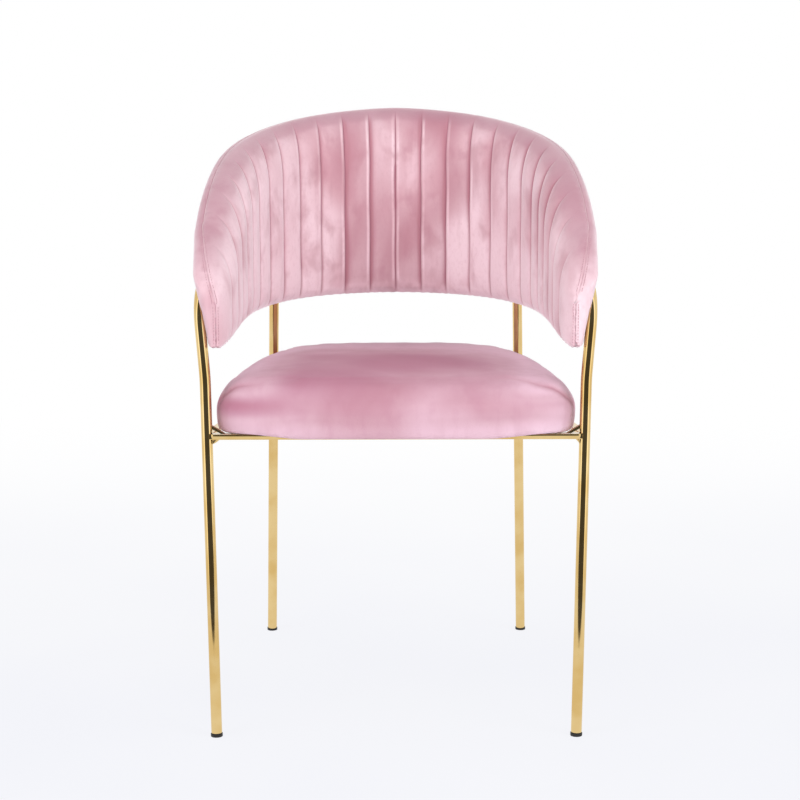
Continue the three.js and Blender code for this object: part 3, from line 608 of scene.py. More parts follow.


# How the pad's pile tone changes at random, with painted light and shade, before its seams
def padPileAndLight(face, share, toLower):
    tones = np.random.default_rng(pad["seed"]).uniform(-1, 1, 2 * pad["channels"])
    channel = np.clip(np.floor((share + 1) * pad["channels"]).astype(int), 0, len(tones) - 1)
    much, scale = pad["mottling"]
    mottling = much * waves(face.reshape(-1, 3), scale).reshape(toLower.shape)
    tone = pad["toneChange"] * tones[channel] + mottling
    much, *reach = pad["middleShade"]
    away = smoothStep(*reach, np.abs(share))
    tone = tone + much * (1 - away) * smoothStep(0, pad["middleRise"], toLower) + pad["sideLight"] * away
    much, reach = pad["lowerLight"]
    low = smoothStep(reach, 0, toLower)
    arm = smoothStep(*pad["arms"], np.abs(share))
    tone = tone + much * away * low + pad["armLightAndShade"][0] * arm + pad["armLightAndShade"][1] * arm * low
    much, *reach = pad["lowerRimLight"]
    tone = tone + much * smoothStep(*reach, toLower) * (1 - arm)
    much, most = pad["rightShade"]
    return tone + much * np.clip(face[..., 0], 0, most) * smoothStep(*pad["rightRise"], toLower)


# Places, painted seam shade, and pile tone with painted light and shade, of the pad's surface
def padRings():
    share = channelColumns()[:, None]
    height = rowHeights(share, pad["rows"])
    toTop, toLower = ridge(share) - height, height - lowerEdge(share)
    phase = np.abs(share) * pad["channels"]
    start, end, left = pad["outerFade"]
    faint = mixed(1, left, smoothStep(start, end, phase))
    across = np.abs(np.sin(math.pi * pad["channels"] * share))
    bulge = across ** pad["fullness"] * fullness(share) * mixed(1, faint, pad["outerFlat"])
    bulge = bulge * smoothStep(0, pad["riseFade"][0], toTop) * smoothStep(0, pad["riseFade"][1], toLower)
    upward, onward = pad["wanderTurns"]
    stray = pad["wander"] * np.sin(upward * height + onward * np.round(share * pad["channels"])) / planLength
    strayed = np.clip(share + stray * smoothStep(0.0, pad["wanderFade"], toTop), -1, 1)
    face = backPoint(strayed, faceOffset(share, height) - pad["rise"] * bulge, height)

    beside = phase - np.round(phase)
    start, end, foot = pad["seamFade"]
    drawn = fullness(share) ** 0.5 * smoothStep(start, end, toTop) * smoothStep(0, foot, toLower) * faint
    start, full, fading, end = pad["deepSeam"]
    deep = smoothStep(start, full, height) * smoothStep(end, fading, height) * (phase < 0.5)
    # Painted shade in each seam and on its inner side, and a painted sheen highlight on its outer side
    seam = hump(beside, 0, pad["seamWidth"]) * drawn * (pad["seamMark"][0] + pad["seamMark"][1] * deep)
    dark, wide = pad["shade"]
    shade = np.where(beside > 0, 0, np.clip(1 + beside / wide, 0, 1)) * drawn
    bright, middle, wide = pad["shine"]
    pileAndLight = padPileAndLight(face, share, toLower) - dark * shade + bright * hump(beside, middle, wide) * drawn

    upper = ridge(share) - back["boardInsets"][0]
    under = lowerEdge(share) + back["boardInsets"][1]
    rear = [
        (faceOffset(share, ridge(share)) + back["edge"], ridge(share)),
        (padBack(share, upper), upper),
        (padBack(share, under), under),
        (faceOffset(share, lowerEdge(share)) + back["edge"], lowerEdge(share)),
    ]
    behind = [backPoint(share, depth, level) for depth, level in rear]
    marks = [np.pad(values, ((0, 0), (0, len(rear)))) for values in (seam, pileAndLight)]
    marks = [np.concatenate([values[:1], values, values[-1:]]).ravel() for values in marks]
    return withNoses(np.concatenate([face, *behind], axis=1), height), marks


# Adds a ring at each end, drawn in to the edge seam
def withNoses(rings, height):
    noses = []
    for end, share in ((0, -1.0), (-1, 1.0)):
        nose = rings[end].copy()
        level = np.broadcast_to(height, (len(rings), height.shape[1]))[end]
        nose[: len(level)] = backPoint(np.full_like(level, share), back["frontRoll"][0] + back["edge"], level)
        noses.append(nose[None])
    return np.concatenate([noses[0], rings, noses[1]])


hem = {
    "along": 1400,  # places of the seam in each long run
    "up": 60,  # and in each arm's front
    "grooveWidth": 0.0045,
    "grooveDepth": 0.001,
    "mark": (0.8, 1.2, 0.0011),  # painted shade along its groove: how dark its line is, how full in the middle and how wide
    "gatherReach": 0.016,  # beside the seam
    "gatherShape": 1.5,
    "gatherRise": 0.0005,
    "gatherLength": 0.013,
    "gatherChange": ((3, 41), (2, 17)),  # slow waves that make the gathers uneven: how much and how often
    "gatherTop": (0.8, 0.72),  # heights where the gathers start and are in full
}


# The seam between pad and panel: over the top, down an arm's front, back along the lower edge and up again,
# with the way out of it and the way across at each place
def edgeLoop():
    share = np.linspace(-1, 1, hem["along"])
    rise = np.linspace(lowerEdge(1.0), ridge(1.0), hem["up"])[1:-1]
    shares = np.concatenate([share, np.ones_like(rise), share[::-1], -np.ones_like(rise)])
    heights = np.concatenate([ridge(share), rise[::-1], lowerEdge(share[::-1]), rise])
    offset = faceOffset(shares, heights) + back["edge"] + back["gap"] / 2
    line = backPoint(shares, offset, heights)
    small = 0.001
    across = backPoint(shares, offset + small, heights) - line
    out = unit(np.cross(np.roll(line, -1, axis=0) - np.roll(line, 1, axis=0), across))
    out = unit(sum(np.roll(out, step, axis=0) for step in range(-5, 6)))
    return line, out * np.sign(out[len(share) // 2, 2]), across / small


# Draws both sides of the edge seam in together, and paints shade along it
def sinkAlong(piece, loop):
    points = coordinates(piece)
    distance, index = nearLine(points, loop[0])
    part = np.clip(1 - distance / hem["grooveWidth"], 0, 1) ** 2
    setCoordinates(piece, points - loop[1][index] * (hem["grooveDepth"] * part)[:, None])
    layer = piece.data.attributes["seam"].data
    now = np.empty(len(points), np.float32)
    layer.foreach_get("value", now)
    dark, full, wide = hem["mark"]
    mark = dark * np.clip(full - distance / wide, 0, 1)
    layer.foreach_set("value", np.maximum(now, mark).astype(np.float32))


# Fine puckers square to the edge seam, where the cloth is drawn in by the thread
def gatherAlong(piece, loop):
    points = coordinates(piece)
    line, out, across = loop
    distance, index = nearLine(points, line)
    part = np.clip(1 - distance / hem["gatherReach"], 0, 1) ** hem["gatherShape"]
    part = part * smoothStep(*hem["gatherTop"], points[:, 2])
    run = walkedAlong(line)[index]
    change = sum(much * np.sin(run * often) for much, often in hem["gatherChange"])
    wave = np.sin(2 * math.pi * run / hem["gatherLength"] + change)
    setCoordinates(piece, points + out[index] * (hem["gatherRise"] * part * wave)[:, None])


rings, marks = padRings()
backPad = loft("backChannelPad", rings)
nearest = nearLine(coordinates(backPad), rings.reshape(-1, 3))[1]
setMarks(backPad, *(values[nearest] for values in marks))
seamLoop = edgeLoop()
gatherAlong(backPad, seamLoop)
sinkAlong(backPad, seamLoop)
dress(backPad, "velvet", "back_channel_pad")
print("channelled pad made")

# Side frames: one bent tube each

tube = {
    "radius": 0.0075,
    "wall": 0.0012,
    "sides": 40,
    "bend": 3.0,  # degrees between rings in a bend
    "frontFoot": 0.497,
    "rearFoot": 0.416,
    "footDepth": 0.508,
    "knee": (0.51, 0.5, 0.26),  # spread, height, radius
    "archHeight": 0.622,
    "front": (0.0354, 0.0115, 0.055),  # outward and back from the arm's end, radius
    "touch": (0.342, 0.262, 0.42, 0.003),  # runs, radius and how deep the tube presses
    "rear": (0.376, 0.386, 0.077),  # spread, depth, radius
    "endRise": 0.0053,
    "sharpFrom": 40,  # degrees between faces
}


def bentPath(corners):
    places = [corners[0][0]]
    for i in range(1, len(corners) - 1):
        corner, radius = corners[i]
        arriving = (corner - corners[i - 1][0]).normalized()
        leaving = (corners[i + 1][0] - corner).normalized()
        angle = arriving.angle(leaving)
        start = corner - arriving * radius * math.tan(angle / 2)
        inward = (leaving - arriving * math.cos(angle)).normalized()
        steps = max(2, math.ceil(math.degrees(angle) / tube["bend"]))
        for step in range(steps + 1):
            turn = angle * step / steps
            places.append(start + inward * radius * (1 - math.cos(turn)) + arriving * radius * math.sin(turn))
    places.append(corners[-1][0])
    return places


def archTouch(run):
    offset = thickness(run / planLength, tube["archHeight"]) + tube["radius"] - tube["touch"][3]
    x, y = planAtRun(run, offset)
    return Vector((x, y, tube["archHeight"]))


def sidePath(side):
    endX, endY = planAtRun(planLength, 0)
    frontFoot = Vector((tube["frontFoot"] / 2, frontLine, 0))
    knee = Vector((tube["knee"][0] / 2, frontLine, tube["knee"][1]))
    front = Vector((endX + tube["front"][0], endY + tube["front"][1], tube["archHeight"]))
    rear = Vector((tube["rear"][0] / 2, frontLine + tube["rear"][1], tube["archHeight"]))
    rearFoot = Vector((tube["rearFoot"] / 2, frontLine + tube["footDepth"], 0))
    corners = [
        (frontFoot + (knee - frontFoot).normalized() * tube["endRise"], 0),
        (knee, tube["knee"][2]),
        (front, tube["front"][2]),
        (archTouch(tube["touch"][0]), tube["touch"][2]),
        (archTouch(tube["touch"][1]), tube["touch"][2]),
        (rear, tube["rear"][2]),
        (rearFoot + (rear - rearFoot).normalized() * tube["endRise"], 0),
    ]
    return [Vector((side * p.x, p.y, p.z)) for p in bentPath(corners)]


# A tube wall swept along places, without twist
def sweep(name, places, radius, bore, sides):
    aims = [(b - a).normalized() for a, b in zip(places, places[1:])]
    aims = [aims[0]] + [(a + b).normalized() for a, b in zip(aims, aims[1:])] + [aims[-1]]
    across = aims[0].orthogonal().normalized()
    turns = [2 * math.pi * i / sides for i in range(sides)]
    rings = []
    for place, aim in zip(places, aims):
        across = (across - aim * across.dot(aim)).normalized()
        other = aim.cross(across)
        rings.append((place, [across * math.cos(turn) + other * math.sin(turn) for turn in turns]))
    outer = [[place + out * radius for out in ring] for place, ring in rings]
    inner = [[place + out * bore for out in ring] for place, ring in reversed(rings)]
    return loft(name, outer + inner, loop=True)


sidePaths = {}
for side, sign in (("right", 1), ("left", -1)):
    sidePaths[side] = sidePath(sign)
    bore = tube["radius"] - tube["wall"]
    piece = sweep(side + "SideTube", sidePaths[side], tube["radius"], bore, tube["sides"])
    piece.data.set_sharp_from_angle(angle=math.radians(tube["sharpFrom"]))
    dress(piece, "gold_tube", side + "_side_tube")
print("side tubes made")

# Outer panel, the upholstered outside of the back

panel = {
    "columns": 300,
    "rows": 60,
    "nose": (0.016, 0.012, 0.008, 0.005, 0.0028, 0.0012, 0.0004),  # further columns, before the arm's end
    "dentClearance": 0.0004,
    "dentReach": 0.01,  # how far beside the tube the cloth is drawn in
    "dentFrom": 0.5,  # height above which a tube lies on the cloth
    "dentSteps": 12,  # between a tube's bends
    "tone": (0.45, 1.6),  # how much lighter the pile is, and painted light that grows for each metre to the right
    "mottling": (0.35, 12),  # how much it changes, and how often
}


def panelRings():
    even = np.linspace(-1, 1, panel["columns"] + 1)
    nose = 1 - np.array(panel["nose"]) / planLength
    share = np.unique(np.concatenate([even, nose, -nose]))[:, None]
    height = rowHeights(share, panel["rows"])
    offset = outerOffset(share, height)
    outside = backPoint(share, offset, height)
    edge = back["edge"] + back["gap"] / 10
    upper = ridge(share) - back["boardInsets"][0]
    under = lowerEdge(share) + back["boardInsets"][1]
    end = 1 - (back["boardInsets"][2] - back["gap"]) / planLength
    inPocket = np.abs(share) <= end

    def depth(level):
        behindBoard = boardOffset(share, level) + back["board"] + back["gap"]
        return np.where(inPocket, behindBoard, padBack(share, level) + 2 * back["gap"])

    rear = [
        (faceOffset(share, ridge(share)) + edge, ridge(share)),
        (padBack(share, upper) + back["gap"], upper + back["gap"]),
        (depth(upper), upper + back["gap"]),
        (depth(under), under - back["gap"]),
        (padBack(share, under) + back["gap"], under - back["gap"]),
        (faceOffset(share, lowerEdge(share)) + edge, lowerEdge(share)),
    ]
    behind = [backPoint(share, level, at) for level, at in rear]
    return withNoses(np.concatenate([outside, *behind], axis=1), height)


# Presses the cloth in where the tubes lie on it
def tubeDent(piece):
    points = coordinates(piece)
    clear = tube["radius"] + panel["dentClearance"]
    for path in sidePaths.values():
        arch = [p for p in path if p.z > panel["dentFrom"]]
        steps = [step / panel["dentSteps"] for step in range(panel["dentSteps"])]
        line = [a.lerp(b, step) for a, b in zip(arch, arch[1:]) for step in steps]
        distance, index = nearLine(points, line)
        centre = np.array(line)[index]
        inward = unit(([0, 0.1, 0] - centre) * [1, 1, 0])
        depth = ((points - centre) * inward).sum(axis=1)
        beside = np.linalg.norm(points - centre - inward * depth[:, None], axis=1)
        wanted = np.sqrt(np.clip(clear ** 2 - beside ** 2, 0, None))
        under = (distance < clear + panel["dentReach"]) & (beside < clear) & (depth < wanted)
        points += inward * np.where(under, wanted - depth, 0)[:, None]
    setCoordinates(piece, points)


backPanel = loft("backOuterPanel", panelRings())
places = coordinates(backPanel)
# Painted light growing to the right, with the pile's mottling
tone = panel["tone"][0] + panel["tone"][1] * places[:, 0]
setMarks(backPanel, 0, tone + panel["mottling"][0] * waves(places, panel["mottling"][1]))
gatherAlong(backPanel, seamLoop)
sinkAlong(backPanel, seamLoop)
tubeDent(backPanel)
dress(backPanel, "velvet", "back_outer_panel")
backPanel.data.materials[0] = panelVelvet
print("outer panel made")

# Rows of thread beside the edge seam, down the arms' fronts

stitch = {
    "beside": 0.0031,  # from the seam
    "length": 0.0028,
    "gap": 0.0011,
    "radius": 0.00045,
    "shape": ((-0.08, 0.35), (0.08, 0.85), (0.5, 1.0), (0.92, 0.85), (1.08, 0.35)),  # places along it, sizes
    "sides": 6,
    "sunk": 0.00015,
    "endSunk": 0.0002,
    "top": 0.685,
    "rear": 0.06,  # behind the front legs' middle
    "mark": 0.8,
}


# Both ends of each stitch on a piece, with the surface's directions there
def stitchRow(piece, side):
    line, out, across = seamLoop
    walked = walkedAlong(line)
    step = stitch["length"] + stitch["gap"]
    made = []
    for start in np.arange(0, walked[-1] - step, step):
        a, b = (int(np.searchsorted(walked, start + more)) for more in (0, stitch["length"]))
        if line[a][2] > stitch["top"] or line[a][1] > frontLine + stitch["rear"]:
            continue
        aims = [Vector(line[i] + across[i] * stitch["beside"] * side) for i in (a, b)]
        made.append([piece.closest_point_on_mesh(aim)[1:3] for aim in aims])
    return made


def sewThread():
    points, faces = [], []
    for (first, normal), (last, other) in stitchRow(backPad, -1) + stitchRow(backPanel, 1):
        run = last - first
        if run.length < stitch["length"] / 2:
            continue
        up = (normal + other).normalized()
        wide = run.normalized().cross(up)
        faces += ringFaces(len(stitch["shape"]), stitch["sides"], len(points))
        for part, size in stitch["shape"]:
            rise = stitch["radius"] * size - stitch["sunk"] - stitch["endSunk"] * (1 - size)
            middle = first + run * part + up * rise
            for k in range(stitch["sides"]):
                turn = 2 * math.pi * k / stitch["sides"]
                out = wide * math.cos(turn) + up * math.sin(turn)
                points.append(middle + out * stitch["radius"] * size)
    return makePiece("edgeStitches", points, faces)


thread = sewThread()
setMarks(thread, stitch["mark"], 0)
dress(thread, "velvet")
print("edge sewn")

# Front rail: a flat bar with a rolled front edge, welded to both legs

rail = {
    "top": 0.4242,
    "half": 0.2506,
    "profile": [  # depth from the legs' middle and height from the top
        (0.007, -0.0006), (0.0064, 0), (-0.007, 0), (-0.0079, 0.0004), (-0.0087, 0.0002), (-0.0091, -0.0006),
        (-0.009, -0.0015), (-0.0083, -0.0034), (-0.0072, -0.0058), (-0.0066, -0.0068), (-0.0059, -0.0073),
        (-0.005, -0.0071), (-0.0043, -0.0061), (-0.0039, -0.0045), (0.0064, -0.0045), (0.007, -0.0039),
    ],
    "even": 41,  # rings between the legs
    "near": (0.2455, 0.2463, 0.2471, 0.2478, 0.249),  # further rings beside a leg
    "flush": (0.2448, 0.2478),  # where the rolled edge draws back beside a leg
    "flushDepth": -0.0069,
    "legGap": 0.0078,
    "sharpFrom": 50,  # degrees between faces
}
weld = {
    "shapes": {1: (0.9, 1.3), -1: (1.9, 0.8)},  # how the right and the left one narrow
    "rings": 14,
    "sides": 20,
    "top": 0.004,  # below the rail's top
    "foot": 0.0136,
    "reach": (0.0105, 0.0006),  # at the top, and more all the way down
    "half": 0.0055,
    "narrower": 0.45,  # at the foot
    "depth": -0.0006,
    "sunk": 0.0004,  # into the leg
    "square": 0.7,  # lower is squarer in plan
}


# Half the distance between the front legs' middles at a height
def legSpread(height):
    return (tube["frontFoot"] + (tube["knee"][0] - tube["frontFoot"]) * height / tube["knee"][1]) / 2


def frontRail():
    legX = legSpread(rail["top"])
    even = np.linspace(-rail["flush"][0], rail["flush"][0], rail["even"])
    near = np.array([*rail["near"], rail["half"]])
    rings = []
    for x in np.concatenate([-near[::-1], even, near]):
        ring = []
        drawn = smoothStep(*rail["flush"], abs(x))
        for depth, height in rail["profile"]:
            depth = mixed(depth, max(depth, rail["flushDepth"]), drawn)
            most = legX - math.sqrt(max(0, rail["legGap"] ** 2 - depth ** 2))
            ring.append((math.copysign(min(abs(x), most), x), frontLine + depth, rail["top"] + height))
        rings.append(ring)
    return loft("frontSeatRail", rings)


def squared(value):
    return math.copysign(abs(value) ** weld["square"], value)


# A rounded lump of weld under the rail, against a leg
def makeWeld(side, shape):
    rings = []
    for part in np.linspace(0, 1, weld["rings"]):
        height = rail["top"] - mixed(weld["top"], weld["foot"], part)
        outer = legSpread(height) - tube["radius"] + weld["sunk"]
        reach = weld["reach"][0] * (1 - part ** shape[0]) ** shape[1] + weld["reach"][1]
        half = weld["half"] * (1 - weld["narrower"] * part)
        ring = []
        for turn in np.linspace(0, 2 * math.pi, weld["sides"], endpoint=False):
            x = outer - reach / 2 + reach / 2 * squared(math.cos(turn))
            y = weld["depth"] + half * squared(math.sin(turn))
            if math.cos(turn) > 0:
                x += tube["radius"] - math.sqrt(tube["radius"] ** 2 - y * y)
            ring.append((side * x, frontLine + y, height))
        rings.append(ring)
    return loft("weld", rings)


bar = frontRail()
bar.data.set_sharp_from_angle(angle=math.radians(rail["sharpFrom"]))
dress(bar, "gold_tube", "front_seat_rail")
for side, shape in weld["shapes"].items():
    dress(makeWeld(side, shape), "gold_tube")
print("front rail made")

# Seat cushion

seat = {
    "width": 0.4915,
    "front": -0.021,
    "rear": 0.441,
    "underside": 0.4245,
    "sideHeight": 0.0705,
    "crown": 0.0065,
    "crownShape": (2.8, 0.85),
    "lowerDraw": 0.003,
    "upperDraw": 0.03,
    "shoulder": 0.62,
    "boardInset": 0.0155,
    "pocket": 0.0142,
    "outline": [(0, 0), (0.3, 0), (0.6, 0.001), (0.81, 0.008), (0.925, 0.03), (0.985, 0.078), (1, 0.145),
                (0.985, 0.25), (0.955, 0.42), (0.9, 0.636), (0.83, 0.77), (0.72, 0.88), (0.57, 0.945),
                (0.39, 0.98), (0.2, 0.996), (0, 1)],
    "columns": 160,
    "pocketSizes": (0.02, 0.3, 0.6, 0.85, 1),  # rings of the hollow over the board
    "underInset": 0.011,  # a ring between the board and the side
    "sideHeights": (0.04, 0.09, 0.16, 0.25, 0.35, 0.42, 0.5),  # shares of the side's height
    "drawnFrom": (0.35, 1.9),  # below which the side is drawn in, and how sharply
    "turns": (12, 24, 35, 45, 54, 62, 70, 77, 83, 87),  # degrees of the side's upper roll
    "topSizes": (0.97, 0.94, 0.9, 0.85, 0.78, 0.68, 0.55, 0.4, 0.25, 0.1, 0.02),
    "shrink": 0.001,  # how much smaller the form is before it is blown up
    "voxel": 0.005,
    "heldBelow": 0.004,  # above the underside
    "frames": 20,  # of the cloth simulation
    "cloth": {
        "quality": 5,
        "mass": 0.3,
        "tension_stiffness": 12,
        "compression_stiffness": 12,
        "bending_stiffness": 0.6,
        "use_pressure": True,
        "uniform_pressure_force": 4.0,
    },
    "most": 0.003,  # how far the cloth may move outward
    "evenSteps": 6,
    "hang": 0.0065,  # how far the front lip hangs down before the rail
    "hangFrom": (-0.0102, -0.0142),  # depths between which it starts
    "hangHeight": 0.026,  # above the underside
    "hangSpan": (0.226, 0.125),  # half width of all of it, and of the full hang
    "creases": [  # folds round the two front corners, from the side to the middle
        [(-0.2405, 0.0235, 0.46), (-0.236, 0.019, 0.469), (-0.23, 0.013, 0.475), (-0.216, 0.008, 0.486),
         (-0.196, 0.005, 0.49), (-0.17, 0.004, 0.4905)],
        [(0.241, 0.024, 0.454), (0.235, 0.014, 0.466), (0.227, 0.006, 0.475), (0.2095, 0.004, 0.485),
         (0.1895, 0.0045, 0.4895), (0.17, 0.013, 0.4925), (0.136, 0.033, 0.4955)],
    ],
    "creaseSteps": 12,  # between two of these places
    "creaseWidth": 0.011,
    "creaseDepth": 0.0026,
    # painted shade in the creases
    "creaseShade": 0.8,
    "ripple": (0.0004, 34, 2.0),  # height, scale and where its waves start
    "rippleFrom": 0.006,  # above the underside
}

# How the cushion's colour turns to its light side above 0 and to its deep side below: painted light and shade
# on its top and front, and mottling of its pile
pile = {
    "top": (0.464, 0.494),  # heights between which the front goes over into the top
    "topShade": [(1.05, 0.035, 0.135, 0.16, 0.115), (0.5, -0.15, 0.01, 0.07, 0.05)],  # painted shade patches on the top: how much, where, halves
    "topRimLight": (1.2, (0.12, 0.21), (0.195, 0.335)),  # painted rim light: how much, where it starts to the sides and to the rear
    "rightwardLight": 1.6,  # painted light, for each metre to the right
    "right": (1.2, 0.08, 0.1, (0.015, 0.095)),  # more painted light on the right: how much, from where, for how far, and depths
    "front": (-0.18, 0.5, (0.456, 0.428)),  # painted shade all over the front, and painted light at its foot
    # darker towards the front's sides
    "frontSides": (-0.12, (0.16, 0.225)),
    "leaning": (2.6, (-0.16, 0.2)),  # across the front: darker up on the left, lighter down on the right
    "leaningHeights": (0.44, 0.465),
    "leaningRight": 0.8,  # how much of it on the right
    "mottling": (0.13, 0.25, 13, 1.0),  # on the front and on the top, scale and where its waves start
}


# Between two places, by their knots
def between(first, last, start, end, at):
    return ((end - at) * first + (at - start) * last) / (end - start)


# A closed smooth curve through points, cut into equal steps
def smoothLoop(points, count):
    points = np.asarray(points, float)
    dense = []
    for i in range(len(points)):
        near = [points[(i + k) % len(points)] for k in (-1, 0, 1, 2)]
        knots = [0.0]
        for a, b in zip(near, near[1:]):
            knots.append(knots[-1] + math.sqrt(np.linalg.norm(b - a)))
        for at in np.linspace(knots[1], knots[2], 12, endpoint=False):
            level = near
            for order in (1, 2):
                level = [between(*level[k:k + 2], knots[k], knots[k + order], at) for k in range(4 - order)]
            dense.append(between(*level, knots[1], knots[2], at))
    dense = np.array(dense + [dense[0]])
    walked = walkedAlong(dense)
    steps = np.linspace(0, walked[-1], count, endpoint=False)
    return np.stack([np.interp(steps, walked, dense[:, axis]) for axis in range(2)], axis=1)


def seatLoop():
    long = seat["rear"] - seat["front"]
    half = [(wide * seat["width"] / 2, seat["front"] + deep * long) for wide, deep in seat["outline"]]
    other = [(-x, y) for x, y in half[-2:0:-1]]
    return smoothLoop(half + other, seat["columns"])


# The cushion's rings from the hollow over its board round the side to the middle of its top
def seatRings(loop, shrink):
    run = unit(np.roll(loop, -1, axis=0) - np.roll(loop, 1, axis=0))
    inwardSide = np.stack([-run[:, 1], run[:, 0]], axis=1)
    middle = np.array([0, (seat["front"] + seat["rear"]) / 2])

    def ring(inset, scale, height):
        flat = loop + inwardSide * inset
        flat = (flat - middle) * scale + middle
        return np.column_stack([flat[:, 0], flat[:, 1] + frontLine, np.full(len(flat), height)])

    base, rise = seat["underside"], seat["sideHeight"]
    rings = [ring(seat["boardInset"], size, base + seat["pocket"]) for size in seat["pocketSizes"]]
    rings += [ring(seat["boardInset"], 1, base + seat["pocket"] / 2)]
    under = (seat["boardInset"], seat["underInset"], seat["lowerDraw"] + shrink)
    rings += [ring(inset, 1, base) for inset in under]
    reach, sharp = seat["drawnFrom"]
    for high in seat["sideHeights"]:
        draw = seat["lowerDraw"] * max(0, 1 - high / reach) ** sharp
        rings.append(ring(draw + shrink, 1, base + high * rise))
    for turn in np.radians(seat["turns"]):
        draw = seat["upperDraw"] * (1 - math.cos(turn)) ** seat["shoulder"]
        high = 0.5 + 0.5 * math.sin(turn)
        rings.append(ring(draw + shrink, 1, base + high * rise - shrink * high))
    for size in seat["topSizes"]:
        crown = seat["crown"] * (1 - size ** seat["crownShape"][0]) ** seat["crownShape"][1]
        rings.append(ring(seat["upperDraw"] + shrink, size, base + rise + crown - shrink))
    return rings


def applyModifiers(piece):
    depsgraph = bpy.context.evaluated_depsgraph_get()
    made = bpy.data.meshes.new_from_object(piece.evaluated_get(depsgraph))
    old = piece.data
    piece.modifiers.clear()
    piece.data = made
    bpy.data.meshes.remove(old)


def remeshed(piece, voxel):
    change = piece.modifiers.new("voxels", "REMESH")
    change.mode = "VOXEL"
    change.voxel_size = voxel
    change.use_smooth_shade = True
    applyModifiers(piece)


# Blows a closed form up as cloth, with some vertices held, and lets its surface move outward only
def puff(piece, held):
    group = piece.vertex_groups.new(name="held")
    group.add([int(i) for i in np.nonzero(held)[0]], 1.0, "REPLACE")
    before, normals = coordinates(piece), vertexNormals(piece)
    settings = piece.modifiers.new("cloth", "CLOTH").settings
    for name, value in seat["cloth"].items():
        setattr(settings, name, value)
    settings.vertex_group_mass = "held"
    settings.effector_weights.gravity = 0
    for step in range(seat["frames"]):
        scene.frame_set(step + 1)
    depsgraph = bpy.context.evaluated_depsgraph_get()
    after = np.empty(len(before) * 3)
    piece.evaluated_get(depsgraph).data.vertices.foreach_get("co", after)
    outward = ((after.reshape(-1, 3) - before) * normals).sum(axis=1)
    print("cushion swells by up to %.1f mm" % (1000 * outward.max()))
    piece.modifiers.clear()
    piece.vertex_groups.clear()
    setCoordinates(piece, before + normals * np.clip(outward, 0, seat["most"])[:, None])
    scene.frame_set(1)


# The front lip hangs down before the rail
def hangLip(piece):
    points = coordinates(piece)
    ahead = smoothStep(*seat["hangFrom"], points[:, 1] - frontLine)
    level = smoothStep(seat["hangHeight"], 0, points[:, 2] - seat["underside"])
    points[:, 2] -= seat["hang"] * ahead * level * smoothStep(*seat["hangSpan"], np.abs(points[:, 0]))
    setCoordinates(piece, points)


# Presses the creases into the surface and ripples it, and returns how deep in a crease each vertex is
def creaseSeat(piece):
    points = coordinates(piece)
    total = np.zeros(len(points))
    for crease in seat["creases"]:
        ends = np.array(crease) + (0, frontLine, 0)
        runs = [np.linspace(a, b, seat["creaseSteps"], endpoint=False) for a, b in zip(ends, ends[1:])]
        line = points[nearLine(np.concatenate(runs), points)[1]]
        line = np.array([line[max(0, i - 3):i + 4].mean(axis=0) for i in range(len(line))])
        distance, index = nearLine(points, line)
        fade = np.minimum(1, 2 * (1 - index / len(line))) * np.minimum(1, (index + 6) / 12)
        total = np.maximum(total, np.clip(1 - distance / seat["creaseWidth"], 0, 1) ** 2 * fade)
    much, scale, start = seat["ripple"]
    ripple = much * waves(points, scale, start) * (points[:, 2] > seat["underside"] + seat["rippleFrom"])
    move = ripple - seat["creaseDepth"] * total
    setCoordinates(piece, points + vertexNormals(piece) * move[:, None])
    return total


# The cushion's pile tone at each place, with painted light and shade
def seatPileAndLight(points):
    x, depth, height = points[:, 0], points[:, 1] - frontLine, points[:, 2]
    top = smoothStep(*pile["top"], height)
    much, sides, rear = pile["topRimLight"]
    topRimLight = smoothStep(*sides, np.abs(x)) + smoothStep(*rear, depth)
    above = much * np.minimum(topRimLight, 1) + pile["rightwardLight"] * x
    for much, across, middle, halfWidth, halfLength in pile["topShade"]:
        above = above - much * hump(x, across, halfWidth) * hump(depth, middle, halfLength)
    much, start, reach, deep = pile["right"]
    above = above + much * np.clip(x - start, 0, reach) * smoothStep(*deep, depth)
    always, much, foot = pile["front"]
    front = always + much * smoothStep(*foot, height)
    much, sides = pile["frontSides"]
    front = front + much * smoothStep(*sides, np.abs(x))
    much, reach = pile["leaning"]
    side = np.clip(x, *reach)
    upper = smoothStep(*pile["leaningHeights"], height)
    front = front + much * side * np.where(side < 0, upper, pile["leaningRight"] * (1 - upper))
    onFront, onTop, scale, start = pile["mottling"]
    return mixed(onFront, onTop, top) * waves(points, scale, start) + mixed(front, above, top)


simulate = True
cushion = loft("seatCushion", seatRings(seatLoop(), seat["shrink"] if simulate else 0))
remeshed(cushion, seat["voxel"])
if simulate:
    puff(cushion, coordinates(cushion)[:, 2] < seat["underside"] + seat["heldBelow"])
change = cushion.modifiers.new("even", "SMOOTH")
change.factor = 0.5
change.iterations = seat["evenSteps"]
change = cushion.modifiers.new("finer", "SUBSURF")
change.levels = change.render_levels = 1
applyModifiers(cushion)
hangLip(cushion)
folds = creaseSeat(cushion)
# Painted shade in the creases, and the seat's pile tone with its painted light and shade
setMarks(cushion, seat["creaseShade"] * folds, seatPileAndLight(coordinates(cushion)))
cushion.data.polygons.foreach_set("use_smooth", [True] * len(cushion.data.polygons))
dress(cushion, "velvet", "seat_cushion")
cushion.data.materials[0] = seatVelvet
print("cushion made")

# Floor, world and lamps

